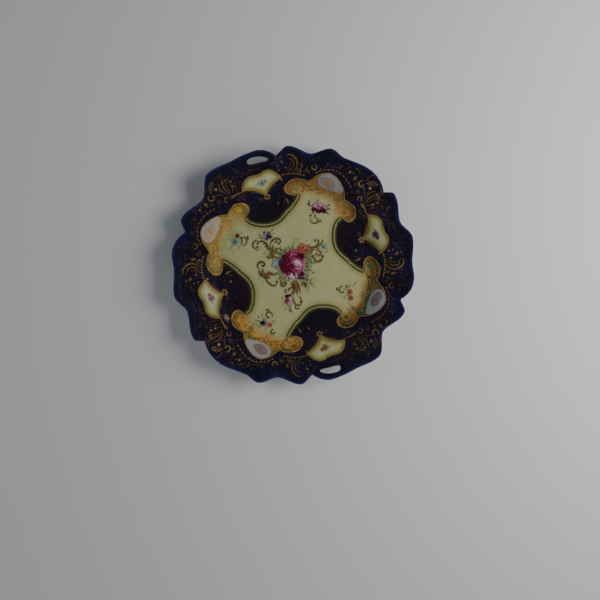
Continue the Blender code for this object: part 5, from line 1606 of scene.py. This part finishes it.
    # lower left: purple bloom and an orange bud
    k = 2
    for a, c0, c1 in ((200, LILAC * 0.5, rgb(150, 132, 140)), (260, LILAC * 0.5, rgb(150, 134, 138)), (20, PLUM, PLUM * 1.5),
                      (80, PLUM, LILAC * 0.6), (140, PLUM, LILAC)):
        pt(k, 30.0, 56.6, a, 4.6, 4.2, c0, c1, h=0.26, base=0.1)
    dt(k, 30.8, 57.2, 1.9, rgb(34, 8, 26), h=0.42)
    fl(k, 24.0, 59.6, 2.8, 5, RUST * 0.7, RUST_PALE * 0.8, rgb(96, 40, 18))
    for x, y, a, l in ((34, 55, 0, 5), (34, 52, -30, 4.5), (31, 51, -70, 4), (27, 53, 230, 4), (22, 57, 200, 4), (28, 61, 80, 4),
                       (33, 60, 40, 4.5)):
        lf(k, x, y, a, l, 1.6)
    for pts in (((21.4, 52), (21.8, 48.6), (24.4, 46.4), (27.2, 47.6), (27.6, 50.4), (25.2, 52)),
                ((19.0, 66), (19.6, 68.4), (22.2, 68.2), (23.2, 65.8), (21.4, 64.4)), ((24.6, 45), (26.2, 43.8), (27.4, 44.8))):
        curl(S, T(pts, k), 1.1)
    # lower right: small russet flowers
    k = 3
    fl(k, 26.6, 57.4, 3.6, 5, rgb(104, 60, 36), rgb(158, 114, 76), rgb(76, 38, 24))
    fl(k, 32.6, 58.6, 3.1, 5, rgb(104, 56, 32), rgb(150, 104, 68), rgb(66, 32, 20))
    for x, y, a, l in ((20, 63, 170, 4.5), (18, 62, 120, 3.5), (24, 54, 240, 4), (31, 53, -60, 4), (35, 56, 0, 4), (22, 58, 190, 4)):
        lf(k, x, y, a, l, 1.5, rgb(88, 96, 50), rgb(150, 156, 92))
    for pts in (((20.6, 50.8), (21.6, 47.8), (24.8, 46.6), (27.2, 48.6), (27, 51)),
                ((22, 45.6), (23.2, 43.8), (24.4, 44.6)), ((19.6, 56), (20.4, 54.2), (21.8, 54.8))):
        curl(S, T(pts, k), 1.1)
    # a small bloom in the middle of each cartouche
    for k, c0, c1, ce in ((1, rgb(84, 108, 104), rgb(136, 154, 140), rgb(60, 84, 84)), (0, rgb(44, 30, 44), rgb(100, 82, 98), rgb(26, 14, 28)),
                          (2, rgb(104, 60, 56), rgb(156, 116, 110), rgb(58, 20, 28)), (3, rgb(100, 62, 42), rgb(150, 112, 84), rgb(66, 32, 22))):
        fl(k, 82.6, 31.8, 3.6, 5, c0, c1, ce, h=0.18)
        fl(k, 84.6, 28.6, 2.2, 5, c0, c1, ce, h=0.16, turn=30)
        lf(k, 82, 36.2, 120, 3.4, 1.2, rgb(110, 124, 84), rgb(160, 172, 120))
        lf(k, 84.6, 29.6, -60, 3.4, 1.2, rgb(110, 124, 84), rgb(160, 172, 120))
        dt(k, 82.0, 35.8, 0.8, c0, h=0.2)
    S.build("corner_scrolls", M_SCROLL, slot="gilding")
    F.build("corner_flowers", M_ENAMEL, slot="flower_enamel")


corner_sprigs()

P = Paint()
fill_panel(P, reserve, 0.9, lambda xy: WASH.paint(xy, reserve_colour(xy)), h=0.05, inner_step=0.78)
P.build("reserve_panel", M_CREAM, slot="reserve_glaze")


# ------------------------------------------------------------ floor, light, camera
def studio():
    bm = bmesh.new()
    bmesh.ops.create_grid(bm, x_segments=40, y_segments=40, size=3.0)
    mesh = bpy.data.meshes.new("floor")
    bm.to_mesh(mesh); bm.free()
    floor = bpy.data.objects.new("floor", mesh)
    bpy.context.scene.collection.objects.link(floor)
    mat, nt, bsdf = nodes_of("floor_paper")
    bsdf.inputs["Base Color"].default_value = (0.69, 0.69, 0.695, 1)
    bsdf.inputs["Roughness"].default_value = 0.9
    bsdf.inputs["Specular IOR Level"].default_value = 0.1
    mesh.materials.append(mat)

    def area(name, loc, size, power, colour=(1, 1, 1), target=(0, 0, 0.01)):
        data = bpy.data.lights.new(name, "AREA")
        data.shape = "RECTANGLE"
        data.size, data.size_y = size
        data.energy = power
        data.color = colour
        obj = bpy.data.objects.new(name, data)
        obj.location = loc
        obj.rotation_euler = (Vector(target) - Vector(loc)).to_track_quat("-Z", "Y").to_euler()
        bpy.context.scene.collection.objects.link(obj)
        return obj

    soft = (area("key", (0.72, 0.10, 0.54), (0.6, 0.6), 7.2, (1.0, 0.99, 0.97)),
            area("fill", (-1.6, 0.3, 0.75), (1.4, 0.9), 5.2, (0.93, 0.96, 1.0)),
            area("front", (0.2, -1.7, 0.85), (1.6, 0.8), 6.0, (0.97, 0.98, 1.0)))
    for obj in soft:
        obj.visible_glossy = False                  # silk scrims: they shade without a glare
    area("lamp", (1.35, 0.85, 1.15), (0.09, 0.09), 0.10, (1.0, 0.80, 0.52))
    area("sheen", (1.5, 0.35, 1.25), (0.9, 0.9), 0.25, (0.62, 0.58, 1.0))
    world = bpy.data.worlds.new("studio")
    world.use_nodes = True
    world.node_tree.nodes["Background"].inputs["Color"].default_value = (0.85, 0.9, 1.0, 1)
    world.node_tree.nodes["Background"].inputs["Strength"].default_value = 0.12
    bpy.context.scene.world = world

    cam_data = bpy.data.cameras.new("camera")
    cam_data.lens, cam_data.sensor_width = 50.0, 36.0
    cam = bpy.data.objects.new("camera", cam_data)
    bpy.context.scene.collection.objects.link(cam)
    f = Vector((0.085, -0.068, 0.0))
    f.z = -math.sqrt(1 - f.x ** 2 - f.y ** 2)
    up = Vector((0, 1, 0)) - f * f.y
    up.normalize()
    right = f.cross(up)
    focal = 833.0
    depth = focal * G
    px, py = -5.7, 33.7
    at = Vector((0, 0, 0.018))
    cam.location = at - (right * (px / focal * depth) + up * (py / focal * depth) + f * depth)
    cam.rotation_mode = "QUATERNION"
    cam.rotation_quaternion = Matrix((right, up, -f)).transposed().to_quaternion()
    cam_data.clip_start = 0.01
    bpy.context.scene.camera = cam


studio()
